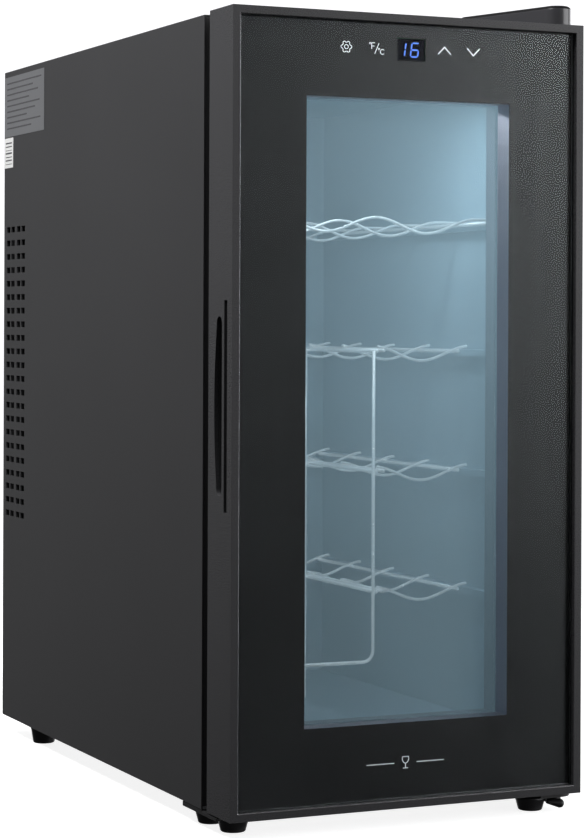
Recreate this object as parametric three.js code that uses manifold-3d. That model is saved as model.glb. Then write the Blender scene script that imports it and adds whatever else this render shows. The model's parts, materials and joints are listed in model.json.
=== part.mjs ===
// A narrow free-standing thermoelectric wine cooler: a right-hung glass door, wire racks, machinery behind.
// Millimetres, +Z up. The front faces -Y and +X is the viewer's right. The floor under the feet is z = 0.
import * as THREE from "three";
import { mergeVertices } from "three/addons/utils/BufferGeometryUtils.js";
import Module from "manifold-3d";

const wasm = await Module();
wasm.setup();

// ---------------------------------------------------------------- driving dimensions

// Overall
const WIDTH = 280;
const DEPTH = 510;
const DOOR_HEIGHT = 564;
const DOOR_LIFT = 14;
const DOOR_THICKNESS = 42;
const DOOR_GAP = 10;
const CABINET_RAISE = 0.4;
const CABINET_DROP = 1.6;
const TOUCH = 0.3;
const CLEARANCE = 0.5;

// Cabinet walls
const SHELL_WALL = 1.2;
const PANEL_WALL = 1.6;
const LINER_WALL = 2;
const SIDE_FOAM = 31.2;
const FLOOR_FOAM = 39.4;
const ROOF_FOAM = 36.6;
const BACK_FOAM = 35.4;
const PARTITION_WALL = 1.2;
const MACHINE_DEPTH = 97.8;

// Side vents
const VENT_ROWS = 22;
const VENT_PITCH = 11.73;
const VENT_SLOT = [9.6, 5];
const VENT_COLUMN_PITCH = 28;
const VENT_PAIR_PITCH = 12.4;
const VENT_LOW = 192;
const VENT_REAR_MARGIN = 7.5;

// Rear cover
const COVER_WALL = 1.5;
const COVER_RECESS = 2.3;
const REAR_FLANGE = 12;
const GRILLE_SLOT = [38, 4];
const GRILLE_PITCH = 9;
const GRILLE_ROWS = 9;
const GRILLE_HALF_GAP = 3;
const LOWER_GRILLE_RISE = 200;

// Racks and the bottle divider
const LEDGE_WIDTH = 7;
const LEDGE_HEIGHT = 5;
const LEDGE_FRONT_MARGIN = 12;
const WIRE_RADIUS = 1.7;
const ROD_RADIUS = 2;
const WELD = 0.8;
const VALLEY_PITCH = 82.6;
const VALLEY_DEPTH = 11;
const CROSS_WIRE_PITCH = 62;
const LOWEST_RACK_RISE = 101.2;
const TOP_BAY_HEIGHT = 99.8;
const TOP_RACK_EXTRA_RISE = 3.5;
const TOP_RACK_SETBACK = 8;
const SIDE_RACK_SETBACK = 59;
const TOP_RACK_BACK_MARGIN = 22;
const SIDE_RACK_BACK_MARGIN = 16;
const SIDE_BAY_WIDTH = 81;
const DIVIDER_BAR_RISE = 44.5;
const DIVIDER_CORNER = 8;
const DIVIDER_MIDDLE_LEG = 123;

// Cooling unit
const COOLING_DROP = 82;
const FAN_COVER_SIZE = [124, 140];
const FAN_COVER_DEPTH = 46;
const FAN_COVER_WALL = 2;
const COLD_SINK = { width: 100, height: 110, base: 4, fin: 15.5, count: 10 };
const HOT_SINK = { width: 110, height: 130, base: 6, fin: 34, count: 12 };
const FIN_WALL = 1.6;
const COLD_FAN = { size: 80, depth: 15, hub: 13 };
const HOT_FAN = { size: 92, depth: 25, hub: 16.5 };
const FAN_BLADES = 7;
const COLD_BLOCK = 44;
const PELTIER = [40, 3.8];
const PELTIER_HOLE = 48;

// Power supply and mains inlet
const POWER_BOARD = [130, 90, 1.6];
const POWER_BOARD_CENTRE = [20, 96];
const STANDOFF = [3, 6];
const TRANSFORMER = [46, 34, 38];
const INLET_CENTRE = [-92, 70];
const INLET_BODY = [28, 20];
const INLET_FLANGE = [42, 27];
const INLET_DEPTH = 20;
const INLET_WALL = 2;
const INLET_FLOOR = 3;
const INLET_PIN = { width: 2, height: 4, pitch: 7, earthRise: 3, short: 4 };

// Cabin light and sensor
const LIGHT = { width: 96, depth: 14, drop: 6.2, wall: 1.6, setback: 12 };
const SENSOR = { x: 70, rise: 242, size: [8, 5.5, 14] };

// Door
const FRAME_WALL = 3;
const FRAME_LIP = 6;
const LIP_CHAMFER = 0.4;
const GLASS_RECESS = 3.3;
const GLASS = 3;
const MASK = 0.4;
const SPACER_DEPTH = 17.7;
const SPACER_LAND = 6.5;
const WINDOW_MARGIN = [58.8, 60, 60];
const INNER_FRAME_DEPTH = 13.7;
const GASKET_INSET = 10.5;
const GASKET_WIDTH = 17;
const GASKET_RIB = [6, 4];
const GASKET_LIP = 4;
const DISPLAY = { x: 1, width: 22.4, height: 16.2, drop: 24.1, depth: 5.5 };
const CONTROL_BOARD = [140, 28, 1.6];
const CONTROL_POCKET_DEPTH = 13;

// Recessed grip in the opening edge of the door
const GRIP = { centre: 286.5, length: 125, front: 17.7, shoulder: 9.5, bulge: 13.5, corner: 7, depth: 24 };
const GRIP_SLOT = { front: 8.5, width: 5.3, length: 147.4, depth: 10 };
const CUP_MARGIN = 1.6;
const CUP_SEAT = 5;

// Hinges
const PIN_INSET = [12, 19];
const PIN_RADIUS = 3;
const BUSH_RADIUS = 5;
const BUSH_LENGTH = 20;
const PIN_COLLAR = 1.5;
const NOSE_RADIUS = 9;
const UPPER_PLATE = 3;
const UPPER_PLATE_WIDTH = 36;
const UPPER_SCREW_SPACING = 19;
const HINGE_REACH = 44;
const HINGE_COVER_HEIGHT = 15;
const HINGE_COVER_WALL = 1.8;
const HINGE_COVER_WIDTH = 45.5;
const HINGE_COVER_REACH = 50.5;
const LOWER_PLATE = 2.5;
const LOWER_PLATE_DROP = 1.1;
const BOSS_RADIUS = 5.5;
const BOSS_LOW = 4;
const TONGUE_NECK = { ahead: 8, aside: -9, height: 6.8, radius: 1.4 };
const TONGUE_TIP = { ahead: 8.5, aside: 0.5, height: 5.4, radius: 3.4 };
const SCREW = { head: 3.6, cap: 1.8, shank: 1.8 };

// Feet
const FOOT_TOP_RADIUS = 11.4;
const FOOT_BASE_RADIUS = 9.4;
const FOOT_CHAMFER = 1.2;
const CABINET_FOOT_INSET = [16, 21];
const REAR_FOOT_INSET = [14, 72];
const LEFT_FRONT_FOOT = [19, 13];
const RIGHT_FRONT_FOOT_AHEAD = 29;

// ---------------------------------------------------------------- places worked out from them

const HALF = WIDTH / 2;
const DOOR_FRONT = -DEPTH / 2;
const DOOR_BACK = DOOR_FRONT + DOOR_THICKNESS;
const DOOR_LOW = DOOR_LIFT;
const DOOR_TOP = DOOR_LIFT + DOOR_HEIGHT;
const CABINET_FRONT = DOOR_BACK + DOOR_GAP;
const CABINET_BACK = DEPTH / 2;
const CABINET_LOW = DOOR_LOW + CABINET_RAISE;
const CABINET_TOP = DOOR_TOP - CABINET_DROP;
const INSIDE = HALF - SHELL_WALL;
const ROOF = CABINET_TOP - SHELL_WALL;
const PANEL_TOP = CABINET_LOW + PANEL_WALL;

const PARTITION_BACK = CABINET_BACK - MACHINE_DEPTH;
const PARTITION_FRONT = PARTITION_BACK - PARTITION_WALL;
const FOAM_BACK = PARTITION_FRONT - TOUCH;
const LINER_BACK = FOAM_BACK - BACK_FOAM - TOUCH;
const CAVITY_BACK = LINER_BACK - LINER_WALL;
const CAVITY_HALF = INSIDE - TOUCH - SIDE_FOAM - TOUCH - LINER_WALL;
const CAVITY_FLOOR = PANEL_TOP + TOUCH + FLOOR_FOAM + TOUCH + LINER_WALL;
const CAVITY_ROOF = ROOF - TOUCH - ROOF_FOAM - TOUCH - LINER_WALL;

const SIDE_RACK_PITCH =
  (CAVITY_ROOF - CAVITY_FLOOR - TOP_BAY_HEIGHT - LOWEST_RACK_RISE - TOP_RACK_EXTRA_RISE) / 3;
const TOP_RACK_LEVEL = CAVITY_ROOF - TOP_BAY_HEIGHT;
const SIDE_RACK_LEVELS = [2, 1, 0].map((step) => CAVITY_FLOOR + LOWEST_RACK_RISE + step * SIDE_RACK_PITCH);
const SIDE_RACK_NAMES = ["side_rack_upper", "side_rack_middle", "side_rack_lower"];
const RACK_REST = WIRE_RADIUS + TOUCH;
const DIVIDER_X = CAVITY_HALF - SIDE_BAY_WIDTH;
const DIVIDER_BAR = CAVITY_FLOOR + DIVIDER_BAR_RISE;
const RACK_ROD_X = CAVITY_HALF - LEDGE_WIDTH - CLEARANCE - TOUCH - ROD_RADIUS;
const WIRE_END = CAVITY_HALF - CLEARANCE * 3;
const SIDE_RACK_CENTRE = (DIVIDER_X + CAVITY_HALF) / 2;
const SIDE_RACK_FRONT = CABINET_FRONT + SIDE_RACK_SETBACK;
const SIDE_RACK_BACK = CAVITY_BACK - SIDE_RACK_BACK_MARGIN;

const COOLING_CENTRE = CAVITY_ROOF - COOLING_DROP;
const COLD_SINK_BACK = CAVITY_BACK - CLEARANCE;
const COLD_SINK_FRONT = COLD_SINK_BACK - COLD_SINK.base - COLD_SINK.fin;
const COLD_FAN_BACK = COLD_SINK_FRONT - CLEARANCE;
const FAN_COVER_FRONT = CAVITY_BACK - FAN_COVER_DEPTH;
const HOT_SINK_FRONT = PARTITION_BACK + CLEARANCE;
const PELTIER_BACK = HOT_SINK_FRONT - TOUCH;
const PELTIER_FRONT = PELTIER_BACK - PELTIER[1];
const HOT_FAN_FRONT = HOT_SINK_FRONT + HOT_SINK.base + HOT_SINK.fin + CLEARANCE;
const REAR_COVER_BACK = CABINET_BACK - COVER_RECESS;
const REAR_COVER_FRONT = REAR_COVER_BACK - COVER_WALL;

const OPENING = HALF - FRAME_LIP;
const GLASS_HALF = OPENING - TOUCH;
const GLASS_FRONT = DOOR_FRONT + GLASS_RECESS;
const GLASS_BACK = GLASS_FRONT + GLASS;
const MASK_BACK = GLASS_BACK + TOUCH + MASK;
const CORE_FRONT = MASK_BACK + TOUCH;
const CORE_BACK = DOOR_BACK - INNER_FRAME_DEPTH - TOUCH;
const INNER_FRAME_FRONT = CORE_BACK + TOUCH;
const WINDOW_HALF = HALF - WINDOW_MARGIN[0];
const WINDOW_LOW = DOOR_LOW + WINDOW_MARGIN[1];
const WINDOW_TOP = DOOR_TOP - WINDOW_MARGIN[2];
const PANE_HALF = WINDOW_HALF + SPACER_LAND;
const PANE_LOW = WINDOW_LOW - SPACER_LAND;
const PANE_TOP = WINDOW_TOP + SPACER_LAND;
const DISPLAY_Z = DOOR_TOP - DISPLAY.drop;
const INNER_HALF = HALF - FRAME_WALL - TOUCH;

const PIN_X = HALF - PIN_INSET[0];
const PIN_Y = DOOR_FRONT + PIN_INSET[1];
const UPPER_PLATE_LOW = DOOR_TOP + 2 * TOUCH;
const UPPER_PLATE_TOP = UPPER_PLATE_LOW + UPPER_PLATE;
const LOWER_PLATE_TOP = DOOR_LOW - LOWER_PLATE_DROP;
const LOWER_PLATE_LOW = LOWER_PLATE_TOP - LOWER_PLATE;
const FOOT_TOP = LOWER_PLATE_LOW - TOUCH;
const RIGHT_FRONT_FOOT = [
  PIN_X - BOSS_RADIUS - FOOT_TOP_RADIUS - CLEARANCE,
  CABINET_FRONT - RIGHT_FRONT_FOOT_AHEAD,
];
const CABINET_FOOT_X = HALF - CABINET_FOOT_INSET[0];
const CABINET_FOOT_Y = CABINET_FRONT + CABINET_FOOT_INSET[1];
const SCREW_HOLE = SCREW.shank + TOUCH;
const PIN_HOLE = PIN_RADIUS + TOUCH;

// ---------------------------------------------------------------- solids

function toSolid(geometry) {
  const bare = geometry.index ? geometry.toNonIndexed() : geometry.clone();
  bare.deleteAttribute("normal");
  bare.deleteAttribute("uv");
  const merged = mergeVertices(bare, 1e-4);
  return new wasm.Manifold(
    new wasm.Mesh({
      numProp: 3,
      vertProperties: merged.attributes.position.array,
      triVerts: new Uint32Array(merged.index.array),
    }),
  );
}

function toGeometry(solid) {
  const mesh = solid.getMesh();
  const geometry = new THREE.BufferGeometry();
  geometry.setAttribute("position", new THREE.BufferAttribute(new Float32Array(mesh.vertProperties), 3));
  geometry.setIndex(new THREE.BufferAttribute(new Uint32Array(mesh.triVerts), 1));
  geometry.computeVertexNormals();
  return geometry;
}

// A box from its low and high values on each axis.
function box([x0, x1], [y0, y1], [z0, z1]) {
  const geometry = new THREE.BoxGeometry(x1 - x0, y1 - y0, z1 - z0);
  geometry.translate((x0 + x1) / 2, (y0 + y1) / 2, (z0 + z1) / 2);
  return toSolid(geometry);
}

// A frame lying in the XZ plane: an outer rectangle with an inner one cut out of it.
function ring(outer, inner, [y0, y1]) {
  const hole = box(inner.x, [y0 - 1, y1 + 1], inner.z);
  return box(outer.x, [y0, y1], outer.z).subtract(hole);
}

// A round bar along Y or Z, given its centre on the other two axes.
function barY(radius, x, z, [y0, y1], sides = 16) {
  const geometry = new THREE.CylinderGeometry(radius, radius, y1 - y0, sides);
  geometry.translate(x, (y0 + y1) / 2, z);
  return toSolid(geometry);
}

function barZ(radius, x, y, [z0, z1], sides = 16) {
  const geometry = new THREE.CylinderGeometry(radius, radius, z1 - z0, sides);
  geometry.rotateX(Math.PI / 2);
  geometry.translate(x, y, (z0 + z1) / 2);
  return toSolid(geometry);
}

// A flat outline in XY, raised between two heights.
function plateZ(shape, [z0, z1], curveSegments = 8) {
  const settings = { depth: z1 - z0, bevelEnabled: false, curveSegments };
  const geometry = new THREE.ExtrudeGeometry(shape, settings);
  geometry.translate(0, 0, z0);
  return toSolid(geometry);
}

// An outline drawn in (Y, Z), extended along X.
function plateX(shape, [x0, x1], curveSegments = 8) {
  const settings = { depth: x1 - x0, bevelEnabled: false, curveSegments };
  const geometry = new THREE.ExtrudeGeometry(shape, settings);
  geometry.applyMatrix4(new THREE.Matrix4().set(0, 0, 1, x0, 1, 0, 0, 0, 0, 1, 0, 0, 0, 0, 0, 1));
  return toSolid(geometry);
}

function joinAll(solids) {
  return solids.reduce((whole, solid) => whole.add(solid));
}

function cutAll(solid, cutters) {
  return cutters.reduce((rest, cutter) => rest.subtract(cutter), solid);
}

// A wire of six-sided section along a curve.
function wire(curve, radius, steps) {
  const section = new THREE.Shape(
    [0, 1, 2, 3, 4, 5].map((corner) => {
      const angle = (corner * Math.PI) / 3;
      return new THREE.Vector2(radius * Math.cos(angle), radius * Math.sin(angle));
    }),
  );
  return toSolid(new THREE.ExtrudeGeometry(section, { extrudePath: curve, steps, bevelEnabled: false }));
}

function rod(from, to, radius = ROD_RADIUS) {
  return wire(new THREE.LineCurve3(new THREE.Vector3(...from), new THREE.Vector3(...to)), radius, 1);
}

function screwZ(x, y, seat, end, sign) {
  const head = [seat, seat + sign * SCREW.cap].sort((a, b) => a - b);
  const shank = [seat + (sign * SCREW.cap) / 2, end].sort((a, b) => a - b);
  return barZ(SCREW.head, x, y, head, 12).add(barZ(SCREW.shank, x, y, shank, 12));
}

// ---------------------------------------------------------------- scene graph

const cooler = new THREE.Group();
const door = new THREE.Group();
const racks = new THREE.Group();
const cooling = new THREE.Group();
cooler.add(door, racks, cooling);

function addPiece(group, name, solid, color, roughness, metalness = 0) {
  const material = new THREE.MeshStandardMaterial({ color, roughness, metalness });
  const mesh = new THREE.Mesh(toGeometry(solid), material);
  mesh.name = name;
  group.add(mesh);
}

const CHARCOAL = 0x454547;
const BLACK = 0x161617;
const STEEL = 0xb9bcbf;
const CHROME = 0xdfe3e6;
const ALUMINIUM = 0xc4c7ca;
const WHITE = 0xe9eaea;
const BOARD_GREEN = 0x1d5a38;
const PANE_TINT = 0x8fa3ad;

// ---------------------------------------------------------------- cabinet

function sideVents() {
  const slots = [];
  for (const side of [-1, 1]) {
    for (let row = 0; row < VENT_ROWS; row += 1) {
      for (const column of [0, VENT_PAIR_PITCH, VENT_COLUMN_PITCH, VENT_COLUMN_PITCH + VENT_PAIR_PITCH]) {
        const back = CABINET_BACK - VENT_REAR_MARGIN - column;
        const middle = VENT_LOW + row * VENT_PITCH;
        slots.push(
          box(
            [side * HALF - 3, side * HALF + 3],
            [back - VENT_SLOT[0], back],
            [middle - VENT_SLOT[1] / 2, middle + VENT_SLOT[1] / 2],
          ),
        );
      }
    }
  }
  return slots;
}

const UPPER_SCREWS = [
  [PIN_X - UPPER_SCREW_SPACING, CABINET_FRONT + HINGE_REACH - 12],
  [PIN_X, CABINET_FRONT + HINGE_REACH - 12],
];
const LOWER_SCREWS = [
  [RIGHT_FRONT_FOOT[0] - 4, CABINET_FRONT + 12],
  [RIGHT_FRONT_FOOT[0] - 4, CABINET_FRONT + 28],
];
const REAR_SCREWS = [-1, 1].flatMap((side) => [
  [side * (INSIDE - REAR_FLANGE / 2), CABINET_LOW + 45],
  [side * (INSIDE - REAR_FLANGE / 2), CABINET_TOP - 45],
]);

// Folded steel wrap: two sides and a top, with a narrow return flange behind the rear cover.
function cabinetShell() {
  const outer = box([-HALF, HALF], [CABINET_FRONT, CABINET_BACK], [CABINET_LOW, CABINET_TOP]);
  const inner = box([-INSIDE, INSIDE], [CABINET_FRONT - 1, CABINET_BACK + 1], [CABINET_LOW - 1, ROOF]);
  const flangeBack = REAR_COVER_FRONT - TOUCH;
  const flange = ring(
    { x: [-INSIDE - 0.1, INSIDE + 0.1], z: [PANEL_TOP + TOUCH, ROOF + 0.1] },
    { x: [-INSIDE + REAR_FLANGE, INSIDE - REAR_FLANGE], z: [CABINET_LOW, ROOF - REAR_FLANGE] },
    [flangeBack - SHELL_WALL, flangeBack],
  );
  const screwHoles = REAR_SCREWS.map(([x, z]) =>
    barY(SCREW_HOLE, x, z, [flangeBack - 3, flangeBack + 3], 12),
  );
  const topHoles = UPPER_SCREWS.map(([x, y]) => barZ(SCREW_HOLE, x, y, [ROOF - 1, CABINET_TOP + 1], 12));
  return cutAll(outer.subtract(inner).add(flange), [...sideVents(), ...screwHoles, ...topHoles]);
}

function bottomPanel() {
  const span = INSIDE - TOUCH;
  const panel = box([-span, span], [CABINET_FRONT, REAR_COVER_FRONT - TOUCH], [CABINET_LOW, PANEL_TOP]);
  const holes = LOWER_SCREWS.map(([x, y]) => barZ(SCREW_HOLE, x, y, [CABINET_LOW - 1, PANEL_TOP + 1], 12));
  return cutAll(panel, holes);
}

// A ledge moulded on one side wall, whose top carries the wires of one rack.
function ledge(side, top) {
  const x = [side * (CAVITY_HALF - LEDGE_WIDTH), side * (CAVITY_HALF + 0.5)].sort((a, b) => a - b);
  return box(x, [CABINET_FRONT + LEDGE_FRONT_MARGIN, CAVITY_BACK - 1], [top - LEDGE_HEIGHT, top]);
}

// The square passage of the thermoelectric module through the back wall.
function peltierPort(y) {
  return squareBlock(PELTIER_HOLE, y);
}

function innerLiner() {
  const outerHalf = CAVITY_HALF + LINER_WALL;
  const outer = box(
    [-outerHalf, outerHalf],
    [CABINET_FRONT, LINER_BACK],
    [CAVITY_FLOOR - LINER_WALL, CAVITY_ROOF + LINER_WALL],
  );
  const span = INSIDE - TOUCH;
  const flange = box(
    [-span, span],
    [CABINET_FRONT, CABINET_FRONT + LINER_WALL],
    [PANEL_TOP + TOUCH, ROOF - TOUCH],
  );
  const cavity = box(
    [-CAVITY_HALF, CAVITY_HALF],
    [CABINET_FRONT - 1, CAVITY_BACK],
    [CAVITY_FLOOR, CAVITY_ROOF],
  );
  const port = peltierPort([CAVITY_BACK - 1, LINER_BACK + 1]);
  const ledgeDrop = RACK_REST + sideRackDip(CAVITY_HALF - LEDGE_WIDTH);
  const ledges = [
    ...[-1, 1].map((side) => ledge(side, TOP_RACK_LEVEL - RACK_REST)),
    ...SIDE_RACK_LEVELS.map((level) => ledge(1, level - ledgeDrop)),
    ledge(-1, DIVIDER_BAR - ROD_RADIUS - TOUCH),
  ];
  return joinAll([outer.add(flange).subtract(cavity).subtract(port), ...ledges]);
}

function insulationFoam() {
  const span = INSIDE - TOUCH;
  const block = box(
    [-span, span],
    [CABINET_FRONT + LINER_WALL + TOUCH, FOAM_BACK],
    [PANEL_TOP + TOUCH, ROOF - TOUCH],
  );
  const hollowHalf = CAVITY_HALF + LINER_WALL + TOUCH;
  const hollow = box(
    [-hollowHalf, hollowHalf],
    [CABINET_FRONT, LINER_BACK + TOUCH],
    [CAVITY_FLOOR - LINER_WALL - TOUCH, CAVITY_ROOF + LINER_WALL + TOUCH],
  );
  return block.subtract(hollow).subtract(peltierPort([LINER_BACK - 1, FOAM_BACK + 1]));
}

function standoffPlaces() {
  const [x, z] = POWER_BOARD_CENTRE;
  const reachX = POWER_BOARD[0] / 2 - 8;
  const reachZ = POWER_BOARD[1] / 2 - 8;
  return [-1, 1].flatMap((i) => [-1, 1].map((k) => [x + i * reachX, z + k * reachZ]));
}

function rearPartition() {
  const span = INSIDE - TOUCH;
  const height = [PANEL_TOP + TOUCH, ROOF - TOUCH];
  const plate = box([-span, span], [PARTITION_FRONT, PARTITION_BACK], height);
  const port = peltierPort([PARTITION_FRONT - 1, PARTITION_BACK + 1]);
  const standoffs = standoffPlaces().map(([x, z]) =>
    barY(STANDOFF[0], x, z, [PARTITION_BACK - 0.2, PARTITION_BACK + STANDOFF[1]], 8),
  );
  return joinAll([plate.subtract(port), ...standoffs]);
}

function grilleSlots(centreZ) {
  const slots = [];
  for (let row = 0; row < GRILLE_ROWS; row += 1) {
    for (const side of [-1, 1]) {
      const middle = side * (GRILLE_SLOT[0] / 2 + GRILLE_HALF_GAP);
      const z = centreZ + (row - (GRILLE_ROWS - 1) / 2) * GRILLE_PITCH;
      slots.push(
        box(
          [middle - GRILLE_SLOT[0] / 2, middle + GRILLE_SLOT[0] / 2],
          [REAR_COVER_FRONT - 1, REAR_COVER_BACK + 1],
          [z - GRILLE_SLOT[1] / 2, z + GRILLE_SLOT[1] / 2],
        ),
      );
    }
  }
  return slots;
}

function rearCover() {
  const span = INSIDE - TOUCH;
  const plate = box([-span, span], [REAR_COVER_FRONT, REAR_COVER_BACK], [PANEL_TOP + TOUCH, ROOF - TOUCH]);
  const screwHoles = REAR_SCREWS.map(([x, z]) =>
    barY(SCREW_HOLE, x, z, [REAR_COVER_FRONT - 1, REAR_COVER_BACK + 1], 12),
  );
  const [x, z] = INLET_CENTRE;
  const inletHole = box(
    [x - INLET_BODY[0] / 2 - TOUCH, x + INLET_BODY[0] / 2 + TOUCH],
    [REAR_COVER_FRONT - 1, REAR_COVER_BACK + 1],
    [z - INLET_BODY[1] / 2 - TOUCH, z + INLET_BODY[1] / 2 + TOUCH],
  );
  const grilles = [COOLING_CENTRE, CAVITY_FLOOR + LOWER_GRILLE_RISE].flatMap(grilleSlots);
  return cutAll(plate, [...grilles, ...screwHoles, inletHole]);
}

// An appliance inlet: flange, body, a socket recess and three contact pins in it.
function mainsInlet() {
  const [x, z] = INLET_CENTRE;
  const flangeFront = REAR_COVER_BACK + TOUCH;
  const bodyFront = CABINET_BACK - INLET_DEPTH;
  const around = ([width, height]) => [
    [x - width / 2, x + width / 2],
    [z - height / 2, z + height / 2],
  ];
  const [flangeX, flangeZ] = around(INLET_FLANGE);
  const [bodyX, bodyZ] = around(INLET_BODY);
  const [socketX, socketZ] = around(INLET_BODY.map((side) => side - 2 * INLET_WALL));
  const body = box(flangeX, [flangeFront, CABINET_BACK], flangeZ).add(
    box(bodyX, [bodyFront, CABINET_BACK - 0.5], bodyZ),
  );
  const socket = box(socketX, [bodyFront + INLET_FLOOR, CABINET_BACK + 1], socketZ);
  const pins = [-1, 0, 1].map((step) => {
    const pinX = x + step * INLET_PIN.pitch;
    const pinZ = step === 0 ? z + INLET_PIN.earthRise : z;
    return box(
      [pinX - INLET_PIN.width / 2, pinX + INLET_PIN.width / 2],
      [bodyFront + INLET_FLOOR - 1, CABINET_BACK - INLET_PIN.short],
      [pinZ - INLET_PIN.height / 2, pinZ + INLET_PIN.height / 2],
    );
  });
  return joinAll([body.subtract(socket), ...pins]);
}

function powerBoard() {
  const [x, z] = POWER_BOARD_CENTRE;
  const front = PARTITION_BACK + STANDOFF[1] + TOUCH;
  return box(
    [x - POWER_BOARD[0] / 2, x + POWER_BOARD[0] / 2],
    [front, front + POWER_BOARD[2]],
    [z - POWER_BOARD[1] / 2, z + POWER_BOARD[1] / 2],
  );
}

// Transformer with a laminated core and a wound bobbin that stands out above and below it.
function transformer() {
  const [x, z] = [POWER_BOARD_CENTRE[0] - 28, POWER_BOARD_CENTRE[1]];
  const front = PARTITION_BACK + STANDOFF[1] + POWER_BOARD[2] + 2 * TOUCH;
  const [width, depth, height] = TRANSFORMER;
  const core = box(
    [x - width / 2, x + width / 2],
    [front + 3, front + depth],
    [z - height / 3, z + height / 3],
  );
  const bobbin = box(
    [x - width / 3, x + width / 3],
    [front, front + depth - 4],
    [z - height / 2, z + height / 2],
  );
  return core.add(bobbin);
}

addPiece(cooler, "cabinet_shell", cabinetShell(), CHARCOAL, 0.45, 0.3);
addPiece(cooler, "bottom_panel", bottomPanel(), STEEL, 0.5, 0.6);
addPiece(cooler, "inner_liner", innerLiner(), 0x5b6b75, 0.5);
addPiece(cooler, "insulation_foam", insulationFoam(), 0xe6dcae, 0.9);
addPiece(cooler, "rear_partition", rearPartition(), STEEL, 0.5, 0.6);
addPiece(cooler, "rear_cover", rearCover(), BLACK, 0.5, 0.3);
addPiece(cooler, "mains_inlet", mainsInlet(), BLACK, 0.6);
addPiece(cooler, "power_board", powerBoard(), BOARD_GREEN, 0.5);
addPiece(cooler, "transformer", transformer(), 0x6d5a34, 0.6);
REAR_SCREWS.forEach(([x, z], index) => {
  const seat = REAR_COVER_BACK + TOUCH;
  const head = barY(SCREW.head, x, z, [seat, seat + SCREW.cap], 12);
  const shank = barY(SCREW.shank, x, z, [REAR_COVER_FRONT - TOUCH - 4, seat + SCREW.cap / 2], 12);
  addPiece(cooler, `rear_cover_screw_${index + 1}`, head.add(shank), STEEL, 0.35, 0.9);
});

// ---------------------------------------------------------------- cabin light and sensor

function lightLens() {
  const y0 = CABINET_FRONT + LIGHT.setback;
  const top = CAVITY_ROOF - TOUCH;
  const half = LIGHT.width / 2;
  const body = box([-half, half], [y0, y0 + LIGHT.depth], [top - LIGHT.drop, top]);
  const hollow = box(
    [-half + LIGHT.wall, half - LIGHT.wall],
    [y0 + LIGHT.wall, y0 + LIGHT.depth - LIGHT.wall],
    [top - LIGHT.drop + LIGHT.wall, top + 1],
  );
  return body.subtract(hollow);
}

function lightBoard() {
  const y0 = CABINET_FRONT + LIGHT.setback + LIGHT.wall + CLEARANCE;
  const y1 = CABINET_FRONT + LIGHT.setback + LIGHT.depth - LIGHT.wall - CLEARANCE;
  const half = LIGHT.width / 2 - LIGHT.wall - CLEARANCE;
  const top = CAVITY_ROOF - TOUCH;
  return box([-half, half], [y0, y1], [top - 1.6, top]);
}

function temperatureSensor() {
  const [width, depth, height] = SENSOR.size;
  const z = CAVITY_FLOOR + SENSOR.rise;
  const back = CAVITY_BACK - TOUCH;
  const clip = box([SENSOR.x - width / 2, SENSOR.x + width / 2], [back - depth, back], [z, z + height]);
  return clip.add(barZ(width / 4, SENSOR.x, back - depth / 2, [z - height / 2, z + 1], 10));
}

addPiece(cooler, "led_lens", lightLens(), 0xf2f6fa, 0.3);
addPiece(cooler, "led_board", lightBoard(), WHITE, 0.5);
addPiece(cooler, "temperature_sensor", temperatureSensor(), WHITE, 0.6);

// ---------------------------------------------------------------- cooling unit

function heatSink(sink, [baseFrom, baseTo], finTip) {
  const z = [COOLING_CENTRE - sink.height / 2, COOLING_CENTRE + sink.height / 2];
  const base = box([-sink.width / 2, sink.width / 2], [baseFrom, baseTo], z);
  const pitch = (sink.width - FIN_WALL) / (sink.count - 1);
  const root = finTip > baseTo ? baseTo - 0.5 : baseFrom + 0.5;
  const depth = [root, finTip].sort((a, b) => a - b);
  const fins = Array.from({ length: sink.count }, (_, index) => {
    const left = -sink.width / 2 + index * pitch;
    return box([left, left + FIN_WALL], depth, z);
  });
  return joinAll([base, ...fins]);
}

// Square fan housing whose hub is held by four arms on its rear face.
function fanFrame(fan, front) {
  const half = fan.size / 2;
  const back = front + fan.depth;
  const around = [COOLING_CENTRE - half, COOLING_CENTRE + half];
  const housing = box([-half, half], [front, back], around);
  const bore = barY(half - 2.5, 0, COOLING_CENTRE, [front - 1, back + 1], 32);
  const hub = barY(fan.hub, 0, COOLING_CENTRE, [back - 3, back], 16);
  const arms = [
    box([-half + 1, half - 1], [back - 3, back - 1], [COOLING_CENTRE - 2, COOLING_CENTRE + 2]),
    box([-2, 2], [back - 3, back - 1], [COOLING_CENTRE - half + 1, COOLING_CENTRE + half - 1]),
  ];
  const bearing = barY(2 + TOUCH, 0, COOLING_CENTRE, [front - 1, back + 1], 12);
  return joinAll([housing.subtract(bore), hub, ...arms]).subtract(bearing);
}

function fanBlade(fan, length, depth, turn) {
  const inner = fan.hub - 2;
  const geometry = new THREE.BoxGeometry(length + 2, 1.5, depth * 1.15);
  geometry.rotateX(Math.PI / 4);
  geometry.translate(inner + (length + 2) / 2, 0, 0);
  geometry.rotateY(turn);
  return geometry;
}

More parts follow.
